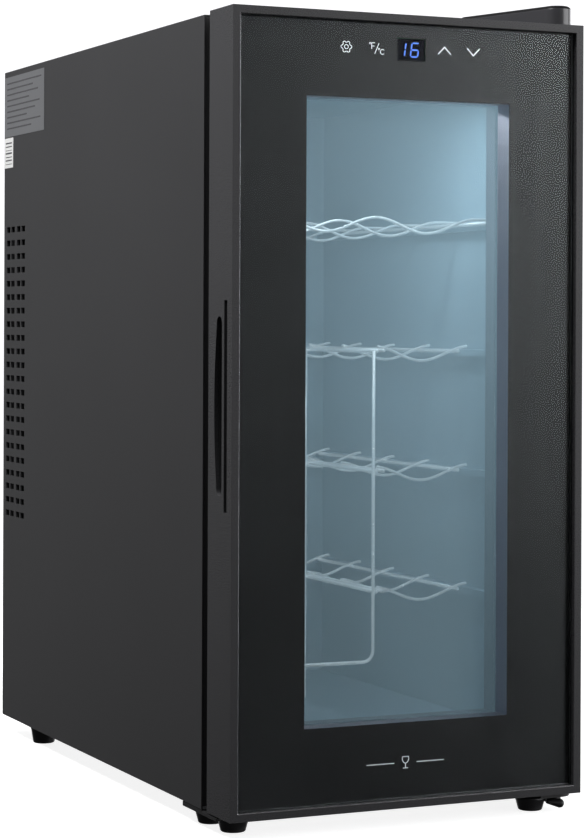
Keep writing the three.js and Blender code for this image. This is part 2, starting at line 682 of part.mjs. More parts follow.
function fanRotor(fan, front) {
  const rotorFront = front + 1;
  const rotorBack = front + fan.depth - 3 - 1;
  const middle = (rotorFront + rotorBack) / 2;
  const depth = rotorBack - rotorFront;
  const hub = barY(fan.hub - 1, 0, COOLING_CENTRE, [rotorFront, rotorBack], 24);
  const shaft = barY(2, 0, COOLING_CENTRE, [rotorFront + 1, front + fan.depth - 0.5], 12);
  const tip = fan.size / 2 - 2.5 - 2;
  const blades = Array.from({ length: FAN_BLADES }, (_, index) => {
    const geometry = fanBlade(fan, tip - fan.hub, depth, (index * 2 * Math.PI) / FAN_BLADES);
    geometry.translate(0, middle, COOLING_CENTRE);
    return toSolid(geometry);
  });
  const swept = barY(tip, 0, COOLING_CENTRE, [rotorFront, rotorBack], 32);
  return joinAll([hub, shaft, joinAll(blades).intersect(swept)]);
}

// Moulded cover over the cold side, open at the back, with air slots in its face and its two sides.
function fanCover() {
  const [width, height] = FAN_COVER_SIZE;
  const z = [COOLING_CENTRE - height / 2, COOLING_CENTRE + height / 2];
  const back = CAVITY_BACK - TOUCH;
  const body = box([-width / 2, width / 2], [FAN_COVER_FRONT, back], z);
  const hollow = box(
    [-width / 2 + FAN_COVER_WALL, width / 2 - FAN_COVER_WALL],
    [FAN_COVER_FRONT + FAN_COVER_WALL, back + 1],
    [z[0] + FAN_COVER_WALL, z[1] - FAN_COVER_WALL],
  );
  const slots = [-3, -2, -1, 0, 1, 2, 3].map((row) =>
    box(
      [-COLD_FAN.size / 2 + 6, COLD_FAN.size / 2 - 6],
      [FAN_COVER_FRONT - 1, FAN_COVER_FRONT + FAN_COVER_WALL + 1],
      [COOLING_CENTRE + row * 10 - 2.2, COOLING_CENTRE + row * 10 + 2.2],
    ),
  );
  const sideSlots = [-2, -1, 0, 1, 2].map((row) =>
    box(
      [-width, width],
      [back - 22, back - 6],
      [COOLING_CENTRE + row * 20 - 3, COOLING_CENTRE + row * 20 + 3],
    ),
  );
  return cutAll(body.subtract(hollow), [...slots, ...sideSlots]);
}

function squareBlock(size, y) {
  return box([-size / 2, size / 2], y, [COOLING_CENTRE - size / 2, COOLING_CENTRE + size / 2]);
}

const coldSinkBase = [COLD_SINK_BACK - COLD_SINK.base, COLD_SINK_BACK];
const hotSinkBase = [HOT_SINK_FRONT, HOT_SINK_FRONT + HOT_SINK.base];
const coldFanFront = COLD_FAN_BACK - COLD_FAN.depth;
const blockSpan = [COLD_SINK_BACK + TOUCH, PELTIER_FRONT - TOUCH];
const peltierSpan = [PELTIER_FRONT, PELTIER_BACK];
addPiece(
  cooling,
  "cold_heatsink",
  heatSink(COLD_SINK, coldSinkBase, COLD_SINK_FRONT),
  ALUMINIUM,
  0.35,
  0.9,
);
addPiece(cooling, "cold_block", squareBlock(COLD_BLOCK, blockSpan), ALUMINIUM, 0.35, 0.9);
addPiece(cooling, "peltier_module", squareBlock(PELTIER[0], peltierSpan), WHITE, 0.6);
addPiece(
  cooling,
  "hot_heatsink",
  heatSink(HOT_SINK, hotSinkBase, hotSinkBase[1] + HOT_SINK.fin),
  ALUMINIUM,
  0.35,
  0.9,
);
addPiece(cooling, "cold_fan_frame", fanFrame(COLD_FAN, coldFanFront), BLACK, 0.6);
addPiece(cooling, "cold_fan_rotor", fanRotor(COLD_FAN, coldFanFront), 0x2a2a2c, 0.5);
addPiece(cooling, "hot_fan_frame", fanFrame(HOT_FAN, HOT_FAN_FRONT), BLACK, 0.6);
addPiece(cooling, "hot_fan_rotor", fanRotor(HOT_FAN, HOT_FAN_FRONT), 0x2a2a2c, 0.5);
addPiece(cooling, "fan_cover", fanCover(), 0x5b6b75, 0.5);

// ---------------------------------------------------------------- racks and bottle divider

// Height of a wave wire under its crests, for a run of valleys centred on one point.
function waveHeight(x, centre, valleys) {
  const reach = (valleys * VALLEY_PITCH) / 2;
  const along = THREE.MathUtils.clamp(x - centre, -reach, reach) + reach;
  return (-VALLEY_DEPTH / 2) * (1 - Math.cos((along / VALLEY_PITCH) * 2 * Math.PI));
}

// How far a side rack's wires lie under their crest level at one x.
function sideRackDip(x) {
  return -waveHeight(x, SIDE_RACK_CENTRE, 1);
}

class WaveCurve extends THREE.Curve {
  constructor(rack, y) {
    super();
    this.rack = rack;
    this.y = y;
  }

  getPoint(t, target = new THREE.Vector3()) {
    const x = THREE.MathUtils.lerp(this.rack.x[0], this.rack.x[1], t);
    const z = this.rack.level + waveHeight(x, this.rack.centre, this.rack.valleys);
    return target.set(x, this.y, z);
  }
}

// A rack: wave wires across, welded on two rods that run from its front to its back.
function wireRack(rack) {
  const [front, back] = rack.y;
  const count = Math.round((back - front) / CROSS_WIRE_PITCH) + 1;
  const steps = 10 * rack.valleys;
  const waves = Array.from({ length: count }, (_, index) => {
    const y = THREE.MathUtils.lerp(front, back, index / (count - 1));
    return wire(new WaveCurve(rack, y), WIRE_RADIUS, steps);
  });
  const rods = rack.rods.map((x) => {
    const wave = rack.level + waveHeight(x, rack.centre, rack.valleys);
    const z = wave - WIRE_RADIUS - ROD_RADIUS + WELD;
    return rod([x, front - ROD_RADIUS, z], [x, back + ROD_RADIUS, z]);
  });
  return joinAll([...waves, ...rods]);
}

function topRack() {
  return wireRack({
    x: [-WIRE_END, WIRE_END],
    y: [CABINET_FRONT + TOP_RACK_SETBACK, FAN_COVER_FRONT - TOP_RACK_BACK_MARGIN],
    level: TOP_RACK_LEVEL,
    centre: 0,
    valleys: 2,
    rods: [-RACK_ROD_X, RACK_ROD_X],
  });
}

const DIVIDER_RAIL_X = DIVIDER_X + 2 * ROD_RADIUS - WELD;

function sideRack(level) {
  return wireRack({
    x: [DIVIDER_X + ROD_RADIUS + CLEARANCE + TOUCH, WIRE_END],
    y: [SIDE_RACK_FRONT, SIDE_RACK_BACK],
    level,
    centre: SIDE_RACK_CENTRE,
    valleys: 1,
    rods: [DIVIDER_RAIL_X + 2 * ROD_RADIUS + CLEARANCE, RACK_ROD_X],
  });
}

// One upright of the divider that turns at its foot into a bar across the bottle bay.
function dividerBend(y, top) {
  const corner = new THREE.Vector3(DIVIDER_X, y, DIVIDER_BAR);
  const above = new THREE.Vector3(DIVIDER_X, y, DIVIDER_BAR + DIVIDER_CORNER);
  const beside = new THREE.Vector3(DIVIDER_X - DIVIDER_CORNER, y, DIVIDER_BAR);
  const turn = wire(new THREE.QuadraticBezierCurve3(above, corner, beside), ROD_RADIUS, 6);
  const upright = rod([DIVIDER_X, y, DIVIDER_BAR + DIVIDER_CORNER - 0.2], [DIVIDER_X, y, top]);
  const bar = rod([-WIRE_END, y, DIVIDER_BAR], [DIVIDER_X - DIVIDER_CORNER + 0.2, y, DIVIDER_BAR]);
  return joinAll([turn, upright, bar]);
}

// Wire divider: rails that carry the side racks, two cross bars that hold standing bottles, and two legs.
function bottleDivider() {
  const railDrop = RACK_REST + ROD_RADIUS + sideRackDip(DIVIDER_RAIL_X + ROD_RADIUS);
  const rails = SIDE_RACK_LEVELS.map((level) => {
    const z = level - railDrop;
    return rod([DIVIDER_RAIL_X, SIDE_RACK_FRONT, z], [DIVIDER_RAIL_X, SIDE_RACK_BACK, z]);
  });
  const top = SIDE_RACK_LEVELS[0] - railDrop + ROD_RADIUS;
  const back = SIDE_RACK_BACK - ROD_RADIUS;
  const foot = CAVITY_FLOOR + TOUCH;
  const legs = [SIDE_RACK_FRONT + DIVIDER_MIDDLE_LEG, back].map((y) =>
    rod([DIVIDER_X, y, foot], [DIVIDER_X, y, top]),
  );
  const sill = rod([-RACK_ROD_X, SIDE_RACK_FRONT, DIVIDER_BAR], [-RACK_ROD_X, back, DIVIDER_BAR]);
  const backBar = rod([-WIRE_END, back, DIVIDER_BAR], [DIVIDER_X, back, DIVIDER_BAR]);
  return joinAll([dividerBend(SIDE_RACK_FRONT, top), ...rails, ...legs, sill, backBar]);
}

addPiece(racks, "top_rack", topRack(), CHROME, 0.15, 1);
SIDE_RACK_LEVELS.forEach((level, index) => {
  addPiece(racks, SIDE_RACK_NAMES[index], sideRack(level), CHROME, 0.15, 1);
});
addPiece(racks, "bottle_divider", bottleDivider(), CHROME, 0.15, 1);

// ---------------------------------------------------------------- door

// Outline of the palm recess, in (Y, Z): straight in front, bowed behind, with rounded ends.
function gripOutline() {
  const front = DOOR_FRONT + GRIP.front;
  const shoulder = front + GRIP.shoulder;
  const centre = DOOR_LOW + GRIP.centre;
  const low = centre - GRIP.length / 2;
  const high = centre + GRIP.length / 2;
  const middle = (front + shoulder) / 2;
  const outline = new THREE.Shape();
  outline.moveTo(front, low + GRIP.corner);
  outline.quadraticCurveTo(front, low, middle, low);
  outline.quadraticCurveTo(shoulder, low, shoulder, low + GRIP.corner);
  outline.quadraticCurveTo(front + 2 * GRIP.bulge - GRIP.shoulder, centre, shoulder, high - GRIP.corner);
  outline.quadraticCurveTo(shoulder, high, middle, high);
  outline.quadraticCurveTo(front, high, front, high - GRIP.corner);
  outline.closePath();
  return outline;
}

function gripSlot(x) {
  const centre = DOOR_LOW + GRIP.centre;
  const front = DOOR_FRONT + GRIP_SLOT.front;
  const half = GRIP_SLOT.length / 2;
  return box(x, [front, front + GRIP_SLOT.width], [centre - half, centre + half]);
}

function cupBox(gap) {
  const front = Math.max(DOOR_FRONT + GRIP_SLOT.front - CUP_MARGIN, CORE_FRONT);
  const palmBack = DOOR_FRONT + GRIP.front + GRIP.bulge + CUP_MARGIN;
  const back = Math.max(palmBack, INNER_FRAME_FRONT + CUP_SEAT);
  const centre = DOOR_LOW + GRIP.centre;
  const half = GRIP_SLOT.length / 2 + CUP_MARGIN;
  return box(
    [-INNER_HALF - gap, -INNER_HALF + GRIP.depth + CUP_MARGIN + gap],
    [front - gap, back + gap],
    [centre - half - gap, centre + half + gap],
  );
}

function gripCup() {
  const body = cupBox(0);
  const palm = plateX(gripOutline(), [-HALF - 1, -INNER_HALF + GRIP.depth], 12);
  return body.subtract(palm).subtract(gripSlot([-HALF - 1, -INNER_HALF + GRIP_SLOT.depth]));
}

// Outer frame: four walls with a lip at the front that surrounds the glass, chamfered down to it.
function doorFrame() {
  const outer = box([-HALF, HALF], [DOOR_FRONT, DOOR_BACK], [DOOR_LOW, DOOR_TOP]);
  const cavityHalf = HALF - FRAME_WALL;
  const cavity = box(
    [-cavityHalf, cavityHalf],
    [CORE_FRONT - TOUCH, DOOR_BACK + 1],
    [DOOR_LOW + FRAME_WALL, DOOR_TOP - FRAME_WALL],
  );
  const opening = box(
    [-OPENING, OPENING],
    [DOOR_FRONT - 1, CORE_FRONT],
    [DOOR_LOW + FRAME_LIP, DOOR_TOP - FRAME_LIP],
  );
  const middle = (DOOR_LOW + DOOR_TOP) / 2;
  const half = DOOR_HEIGHT / 2 - FRAME_LIP;
  const outline = new THREE.Shape();
  outline.moveTo(-OPENING, -half);
  outline.lineTo(OPENING, -half);
  outline.lineTo(OPENING, half);
  outline.lineTo(-OPENING, half);
  outline.closePath();
  const flare = new THREE.ExtrudeGeometry(outline, {
    depth: LIP_CHAMFER,
    bevelSize: LIP_CHAMFER,
    bevelThickness: LIP_CHAMFER,
    bevelSegments: 1,
  });
  flare.rotateX(Math.PI / 2);
  flare.translate(0, DOOR_FRONT, middle);
  const bushHoles = [
    barZ(BUSH_RADIUS + TOUCH, PIN_X, PIN_Y, [DOOR_TOP - FRAME_WALL - 1, DOOR_TOP + 1]),
    barZ(BUSH_RADIUS + TOUCH, PIN_X, PIN_Y, [DOOR_LOW - 1, DOOR_LOW + FRAME_WALL + 1]),
  ];
  const palm = plateX(gripOutline(), [-HALF - 1, -INNER_HALF + 1], 12);
  const slot = gripSlot([-HALF - 1, -INNER_HALF + 1]);
  return cutAll(outer, [cavity, opening, toSolid(flare), ...bushHoles, palm, slot]);
}

function frontGlass() {
  return box(
    [-GLASS_HALF, GLASS_HALF],
    [GLASS_FRONT, GLASS_BACK],
    [DOOR_LOW + FRAME_LIP + TOUCH, DOOR_TOP - FRAME_LIP - TOUCH],
  );
}

function displayBox(gap, y) {
  return box(
    [DISPLAY.x - DISPLAY.width / 2 - gap, DISPLAY.x + DISPLAY.width / 2 + gap],
    y,
    [DISPLAY_Z - DISPLAY.height / 2 - gap, DISPLAY_Z + DISPLAY.height / 2 + gap],
  );
}

// Black printed layer behind the glass, clear at the window and at the display.
function glassMask() {
  const front = GLASS_BACK + TOUCH;
  const sheet = ring(
    { x: [-GLASS_HALF, GLASS_HALF], z: [DOOR_LOW + FRAME_LIP + TOUCH, DOOR_TOP - FRAME_LIP - TOUCH] },
    { x: [-WINDOW_HALF, WINDOW_HALF], z: [WINDOW_LOW, WINDOW_TOP] },
    [front, MASK_BACK],
  );
  return sheet.subtract(displayBox(0, [front - 1, MASK_BACK + 1]));
}

function controlBox(gap, y) {
  const [width, height] = CONTROL_BOARD;
  return box(
    [DISPLAY.x - width / 2 - gap, DISPLAY.x + width / 2 + gap],
    y,
    [DISPLAY_Z - height / 2 - gap, DISPLAY_Z + height / 2 + gap],
  );
}

function bushPockets() {
  const reach = BUSH_LENGTH + 4;
  return [
    barZ(BUSH_RADIUS + TOUCH, PIN_X, PIN_Y, [DOOR_TOP - reach, DOOR_TOP]),
    barZ(BUSH_RADIUS + TOUCH, PIN_X, PIN_Y, [DOOR_LOW, DOOR_LOW + reach]),
  ];
}

const DOOR_INSIDE = {
  x: [-INNER_HALF, INNER_HALF],
  z: [DOOR_LOW + FRAME_WALL + TOUCH, DOOR_TOP - FRAME_WALL - TOUCH],
};
const PANE = { x: [-PANE_HALF, PANE_HALF], z: [PANE_LOW, PANE_TOP] };

// Insulating ring between the panes' edges and the frame, with pockets for the board, grip and bushes.
function doorCore() {
  const seat = {
    x: [-PANE_HALF - TOUCH, PANE_HALF + TOUCH],
    z: [PANE_LOW - TOUCH, PANE_TOP + TOUCH],
  };
  const body = ring(DOOR_INSIDE, seat, [CORE_FRONT, CORE_BACK]);
  const pocket = controlBox(CLEARANCE, [CORE_FRONT - 1, CORE_FRONT + CONTROL_POCKET_DEPTH]);
  return cutAll(body, [pocket, cupBox(TOUCH), ...bushPockets()]);
}

function glassSpacer() {
  const clear = {
    x: [-WINDOW_HALF - CLEARANCE, WINDOW_HALF + CLEARANCE],
    z: [WINDOW_LOW - CLEARANCE, WINDOW_TOP + CLEARANCE],
  };
  return ring(PANE, clear, [CORE_FRONT, CORE_FRONT + SPACER_DEPTH]);
}

function innerGlass() {
  const front = CORE_FRONT + SPACER_DEPTH + TOUCH;
  return box(PANE.x, [front, front + GLASS], PANE.z);
}

function gasketBand(inset, width) {
  const outerX = HALF - inset;
  const outerZ = [DOOR_LOW + inset, DOOR_TOP - inset];
  return {
    outer: { x: [-outerX, outerX], z: outerZ },
    inner: { x: [-outerX + width, outerX - width], z: [outerZ[0] + width, outerZ[1] - width] },
  };
}

const RIB_INSET = GASKET_INSET + (GASKET_WIDTH - GASKET_RIB[0]) / 2;

function doorInnerFrame() {
  const clear = {
    x: [-WINDOW_HALF - CLEARANCE, WINDOW_HALF + CLEARANCE],
    z: [WINDOW_LOW - CLEARANCE, WINDOW_TOP + CLEARANCE],
  };
  const paneBack = CORE_FRONT + SPACER_DEPTH + TOUCH + GLASS;
  const land = ring(PANE, clear, [paneBack + TOUCH, Math.max(paneBack + TOUCH, INNER_FRAME_FRONT) + 1]);
  const body = ring(DOOR_INSIDE, clear, [INNER_FRAME_FRONT, DOOR_BACK]).add(land);
  const groove = gasketBand(RIB_INSET - TOUCH, GASKET_RIB[0] + 2 * TOUCH);
  const channel = ring(groove.outer, groove.inner, [DOOR_BACK - GASKET_RIB[1] - TOUCH, DOOR_BACK + 1]);
  const paneSeat = box(
    [-PANE_HALF - TOUCH, PANE_HALF + TOUCH],
    [paneBack - GLASS, paneBack + TOUCH],
    [PANE_LOW - TOUCH, PANE_TOP + TOUCH],
  );
  return cutAll(body, [channel, paneSeat, cupBox(TOUCH), ...bushPockets()]);
}

// Magnetic gasket: a rib pressed in the groove, a flat band, and a narrower band that meets the cabinet.
function doorGasket() {
  const rib = gasketBand(RIB_INSET, GASKET_RIB[0]);
  const band = gasketBand(GASKET_INSET, GASKET_WIDTH);
  const face = gasketBand(GASKET_INSET + GASKET_LIP / 2, GASKET_WIDTH - GASKET_LIP);
  const bandFront = DOOR_BACK + TOUCH;
  const bandBack = bandFront + DOOR_GAP / 2;
  return joinAll([
    ring(rib.outer, rib.inner, [DOOR_BACK - GASKET_RIB[1], bandFront + 1]),
    ring(band.outer, band.inner, [bandFront, bandBack]),
    ring(face.outer, face.inner, [bandBack - 1, CABINET_FRONT - TOUCH]),
  ]);
}

function controlBoard() {
  const front = CORE_FRONT + DISPLAY.depth + 2 * TOUCH;
  return controlBox(0, [front, front + CONTROL_BOARD[2]]);
}

function hingeBush(z) {
  return barZ(BUSH_RADIUS, PIN_X, PIN_Y, z).subtract(barZ(PIN_HOLE, PIN_X, PIN_Y, [z[0] - 1, z[1] + 1]));
}

addPiece(door, "door_frame", doorFrame(), CHARCOAL, 0.4, 0.3);
addPiece(door, "front_glass", frontGlass(), PANE_TINT, 0.05);
addPiece(door, "glass_mask", glassMask(), 0x1f2023, 0.3);
addPiece(door, "door_core", doorCore(), WHITE, 0.8);
addPiece(door, "glass_spacer", glassSpacer(), 0x5a5862, 0.4, 0.6);
addPiece(door, "inner_glass", innerGlass(), PANE_TINT, 0.05);
addPiece(door, "door_inner_frame", doorInnerFrame(), 0x3b3b42, 0.5);
addPiece(door, "door_gasket", doorGasket(), BLACK, 0.8);
const displayDepth = [CORE_FRONT, CORE_FRONT + DISPLAY.depth];
addPiece(door, "display_module", displayBox(-TOUCH, displayDepth), 0x0c1220, 0.3);
addPiece(door, "control_board", controlBoard(), BOARD_GREEN, 0.5);
addPiece(door, "handle_cup", gripCup(), BLACK, 0.5);
const upperBush = [DOOR_TOP - TOUCH - BUSH_LENGTH, DOOR_TOP - TOUCH];
const lowerBush = [DOOR_LOW + 3 * TOUCH, DOOR_LOW + 3 * TOUCH + BUSH_LENGTH];
addPiece(door, "upper_hinge_bush", hingeBush(upperBush), WHITE, 0.5);
addPiece(door, "lower_hinge_bush", hingeBush(lowerBush), WHITE, 0.5);

// ---------------------------------------------------------------- hinges

// Outline seen from above: wide over the cabinet, narrowing to a round nose about the hinge pin.
function hingeOutline(margin, width, reach) {
  const right = HALF - HINGE_COVER_WALL - TOUCH + margin;
  const nose = Math.min(NOSE_RADIUS, right - PIN_X - margin) + margin;
  const back = CABINET_FRONT + reach + margin;
  const outline = new THREE.Shape();
  outline.moveTo(right, back);
  outline.lineTo(right - width - margin, back);
  outline.absarc(PIN_X, PIN_Y, nose, Math.PI, 2 * Math.PI);
  outline.closePath();
  return outline;
}

function upperHingeBracket() {
  const outline = hingeOutline(0, UPPER_PLATE_WIDTH, HINGE_REACH);
  const plate = plateZ(outline, [UPPER_PLATE_LOW, UPPER_PLATE_TOP]);
  const overCabinet = box([0, HALF], [CABINET_FRONT, CABINET_BACK], [CABINET_TOP, DOOR_TOP + 2]);
  const pad = plateZ(outline, [CABINET_TOP + TOUCH, UPPER_PLATE_LOW + 0.5]).intersect(overCabinet);
  const holes = [
    barZ(PIN_HOLE, PIN_X, PIN_Y, [DOOR_TOP, UPPER_PLATE_TOP + 1]),
    ...UPPER_SCREWS.map(([x, y]) => barZ(SCREW_HOLE, x, y, [CABINET_TOP, UPPER_PLATE_TOP + 1], 12)),
  ];
  return cutAll(plate.add(pad), holes);
}

function upperHingePin() {
  const low = DOOR_TOP - BUSH_LENGTH - 2;
  const head = [UPPER_PLATE_TOP + TOUCH, UPPER_PLATE_TOP + TOUCH + 2 * PIN_COLLAR];
  return barZ(PIN_RADIUS, PIN_X, PIN_Y, [low, head[1] - 0.5]).add(barZ(PIN_RADIUS + 2, PIN_X, PIN_Y, head));
}

function upperHingeCover() {
  const outer = hingeOutline(HINGE_COVER_WALL, HINGE_COVER_WIDTH, HINGE_COVER_REACH);
  const inner = hingeOutline(TOUCH, HINGE_COVER_WIDTH - HINGE_COVER_WALL, HINGE_COVER_REACH);
  const low = DOOR_TOP + TOUCH;
  const top = low + HINGE_COVER_HEIGHT;
  const overCabinet = box([0, HALF], [CABINET_FRONT - 3, CABINET_BACK], [CABINET_TOP, DOOR_TOP + 2]);
  const skirt = plateZ(outer, [CABINET_TOP + TOUCH, low + 0.5]).intersect(overCabinet);
  const hollow = plateZ(inner, [CABINET_TOP - 1, top - HINGE_COVER_WALL]);
  return plateZ(outer, [low, top]).add(skirt).subtract(hollow);
}

// Plate under one front corner that carries the feet, flush under the cabinet by a raised pad.
function footPlate(x, frontY) {
  const back = CABINET_FOOT_Y + FOOT_TOP_RADIUS + 4;
  const plate = box(x, [frontY, back], [LOWER_PLATE_LOW, LOWER_PLATE_TOP]);
  return plate.add(box(x, [CABINET_FRONT, back], [LOWER_PLATE_TOP - 0.5, CABINET_LOW - TOUCH]));
}

function tongueEnd({ ahead, aside, height, radius }) {
  const geometry = new THREE.SphereGeometry(radius, 14, 8);
  geometry.translate(PIN_X + aside, PIN_Y - ahead, height);
  return toSolid(geometry);
}

// Lower hinge: a plate with a lobe under the door, a boss for the pin, and a short tongue.
function lowerHingeBracket() {
  const plate = footPlate([LOWER_SCREWS[0][0] - 6, HALF - TOUCH], PIN_Y);
  const boss = barZ(BOSS_RADIUS, PIN_X, PIN_Y, [BOSS_LOW, LOWER_PLATE_TOP], 20);
  const lobe = new THREE.Shape();
  lobe.moveTo(HALF - TOUCH, PIN_Y + 1);
  lobe.absarc(PIN_X, PIN_Y, HALF - TOUCH - PIN_X, 0, -Math.PI / 2, true);
  lobe.lineTo(RIGHT_FRONT_FOOT[0], PIN_Y - (HALF - TOUCH - PIN_X));
  lobe.lineTo(LOWER_SCREWS[0][0] - 6, PIN_Y + 1);
  lobe.closePath();
  const web = box([PIN_X - 3, PIN_X + 3], [PIN_Y, CABINET_FRONT - 3], [BOSS_LOW, LOWER_PLATE_LOW + 0.5]);
  const holes = [
    barZ(PIN_HOLE, PIN_X, PIN_Y, [BOSS_LOW + 2, LOWER_PLATE_TOP + 1]),
    ...LOWER_SCREWS.map(([x, y]) => barZ(SCREW_HOLE, x, y, [0, CABINET_LOW], 12)),
  ];
  const tongue = wasm.Manifold.hull([TONGUE_NECK, TONGUE_TIP].map(tongueEnd));
  const nose = plateZ(lobe, [LOWER_PLATE_LOW, LOWER_PLATE_TOP]);
  return cutAll(joinAll([plate, nose, boss, web, tongue]), holes);
}

function lowerHingePin() {
  const top = lowerBush[1] + 2;
  const collar = [LOWER_PLATE_TOP + TOUCH, lowerBush[0] - TOUCH];
  const shaft = barZ(PIN_RADIUS, PIN_X, PIN_Y, [BOSS_LOW + 2 + TOUCH, top]);
  return shaft.add(barZ(PIN_RADIUS + 1.6, PIN_X, PIN_Y, collar));
}

addPiece(cooler, "upper_hinge_bracket", upperHingeBracket(), STEEL, 0.45, 0.8);
addPiece(cooler, "upper_hinge_pin", upperHingePin(), STEEL, 0.3, 0.9);
addPiece(cooler, "upper_hinge_cover", upperHingeCover(), BLACK, 0.45);
UPPER_SCREWS.forEach(([x, y], index) => {
  const screw = screwZ(x, y, UPPER_PLATE_TOP + TOUCH, ROOF, 1);
  addPiece(cooler, `upper_hinge_screw_${index + 1}`, screw, STEEL, 0.35, 0.9);
});
addPiece(cooler, "lower_hinge_bracket", lowerHingeBracket(), BLACK, 0.5, 0.3);
addPiece(cooler, "lower_hinge_pin", lowerHingePin(), STEEL, 0.3, 0.9);
LOWER_SCREWS.forEach(([x, y], index) => {
  const screw = screwZ(x, y, LOWER_PLATE_LOW - TOUCH, PANEL_TOP, -1);
  addPiece(cooler, `lower_hinge_screw_${index + 1}`, screw, STEEL, 0.35, 0.9);
});
const leftPlateX = [-HALF + TOUCH, -HALF + LEFT_FRONT_FOOT[0] + FOOT_TOP_RADIUS + 4];
const leftPlateFront = CABINET_FRONT - LEFT_FRONT_FOOT[1] - FOOT_TOP_RADIUS - 2;
addPiece(cooler, "left_foot_bracket", footPlate(leftPlateX, leftPlateFront), BLACK, 0.5, 0.3);

// ---------------------------------------------------------------- feet

function foot(x, y, top) {
  const profile = [
    [0, 0],
    [FOOT_BASE_RADIUS - FOOT_CHAMFER, 0],
    [FOOT_BASE_RADIUS, FOOT_CHAMFER],
    [FOOT_TOP_RADIUS, top],
    [0, top],
  ].map(([radius, z]) => new THREE.Vector2(radius, z));
  const geometry = new THREE.LatheGeometry(profile, 20);
  geometry.rotateX(Math.PI / 2);
  geometry.translate(x, y, 0);
  return toSolid(geometry);
}

const REAR_FOOT_X = HALF - REAR_FOOT_INSET[0];
const REAR_FOOT_Y = CABINET_BACK - REAR_FOOT_INSET[1];
const PANEL_FOOT_TOP = CABINET_LOW - TOUCH;
const FEET = [
  ["front_foot_left", -HALF + LEFT_FRONT_FOOT[0], CABINET_FRONT - LEFT_FRONT_FOOT[1], FOOT_TOP],
  ["front_foot_right", RIGHT_FRONT_FOOT[0], RIGHT_FRONT_FOOT[1], FOOT_TOP],
  ["cabinet_foot_left", -CABINET_FOOT_X, CABINET_FOOT_Y, FOOT_TOP],
  ["cabinet_foot_right", CABINET_FOOT_X, CABINET_FOOT_Y, FOOT_TOP],
  ["rear_foot_left", -REAR_FOOT_X, REAR_FOOT_Y, PANEL_FOOT_TOP],
  ["rear_foot_right", REAR_FOOT_X, REAR_FOOT_Y, PANEL_FOOT_TOP],
];
FEET.forEach(([name, x, y, top]) => {
  addPiece(cooler, name, foot(x, y, top), BLACK, 0.7);
});

export default cooler;
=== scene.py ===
"""Looks of a narrow wine cooler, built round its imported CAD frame. Metres, +Z up, the door faces -Y."""

import json
import math

import bmesh
import bpy
from mathutils import Matrix, Vector


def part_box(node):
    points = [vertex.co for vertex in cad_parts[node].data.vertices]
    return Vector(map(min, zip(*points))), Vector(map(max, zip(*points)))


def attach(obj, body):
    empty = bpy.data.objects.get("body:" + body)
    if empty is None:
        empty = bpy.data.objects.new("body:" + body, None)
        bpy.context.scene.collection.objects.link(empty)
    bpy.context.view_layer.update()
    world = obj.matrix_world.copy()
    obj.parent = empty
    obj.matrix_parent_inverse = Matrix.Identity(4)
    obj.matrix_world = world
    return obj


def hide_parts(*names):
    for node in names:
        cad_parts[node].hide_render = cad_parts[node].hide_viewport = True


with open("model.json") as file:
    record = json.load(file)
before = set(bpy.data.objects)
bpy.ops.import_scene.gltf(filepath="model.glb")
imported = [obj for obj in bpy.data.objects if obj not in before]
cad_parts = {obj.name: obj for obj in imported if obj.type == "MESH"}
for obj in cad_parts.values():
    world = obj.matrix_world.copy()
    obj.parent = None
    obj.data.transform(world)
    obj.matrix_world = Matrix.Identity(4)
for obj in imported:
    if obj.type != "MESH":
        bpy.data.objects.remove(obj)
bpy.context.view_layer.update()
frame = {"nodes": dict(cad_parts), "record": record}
MM = 0.001
SLOTS = {entry["node"]: entry["material_slot"] for entry in frame["record"]["subparts"]}
BODIES = {
    node: body
    for body, nodes in frame["record"]["behaviour"]["bodies"].items()
    for node in nodes
}

# ---------------------------------------------------------------- sizes and places

WIRE = 1.15 * MM
ROD = 1.4 * MM
CAD_WIRE = 1.7 * MM
CAD_ROD = 2.0 * MM
VALLEY_PITCH = 82.6 * MM
VALLEY_DEPTH = 11 * MM
CROSS_WIRE_PITCH = 62 * MM
DIVIDER_CORNER = 8 * MM
DIVIDER_BAR_RISE = 44.2 * MM
DIVIDER_MIDDLE_LEG = 123 * MM
SCREW_HEAD = 3.6 * MM
SCREW_CAP = 1.8 * MM
PRINT = 0.12 * MM
HINGE_RIM = 3.2 * MM
WELD = 1e-6
FLAT = math.radians(0.5)

MASK_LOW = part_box("glass_mask")[0]
DISPLAY_LOW, DISPLAY_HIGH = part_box("display_module")
SHELL_LOW, SHELL_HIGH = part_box("cabinet_shell")
PRINT_Y = MASK_LOW.y - 0.03 * MM
KEY_ROW = (DISPLAY_LOW.z + DISPLAY_HIGH.z) / 2
DISPLAY_X = (DISPLAY_LOW.x + DISPLAY_HIGH.x) / 2

# ---------------------------------------------------------------- materials


def material(name):
    made = bpy.data.materials.new(name)
    made.use_nodes = True
    tree = made.node_tree
    return made, tree, tree.nodes["Principled BSDF"]


def add_node(tree, kind, **values):
    node = tree.nodes.new(kind)
    for key, value in values.items():
        setattr(node, key, value)
    return node


def noise(tree, scale, detail=3.0, stretch=(1, 1, 1)):
    """A noise over the object's own coordinates, with its size in cycles per metre."""
    place = add_node(tree, "ShaderNodeTexCoord")
    mapping = add_node(tree, "ShaderNodeMapping")
    mapping.inputs["Scale"].default_value = stretch
    texture = add_node(tree, "ShaderNodeTexNoise")
    texture.inputs["Scale"].default_value = scale
    texture.inputs["Detail"].default_value = detail
    tree.links.new(place.outputs["Object"], mapping.inputs["Vector"])
    tree.links.new(mapping.outputs["Vector"], texture.inputs["Vector"])
    return texture.outputs["Fac"]


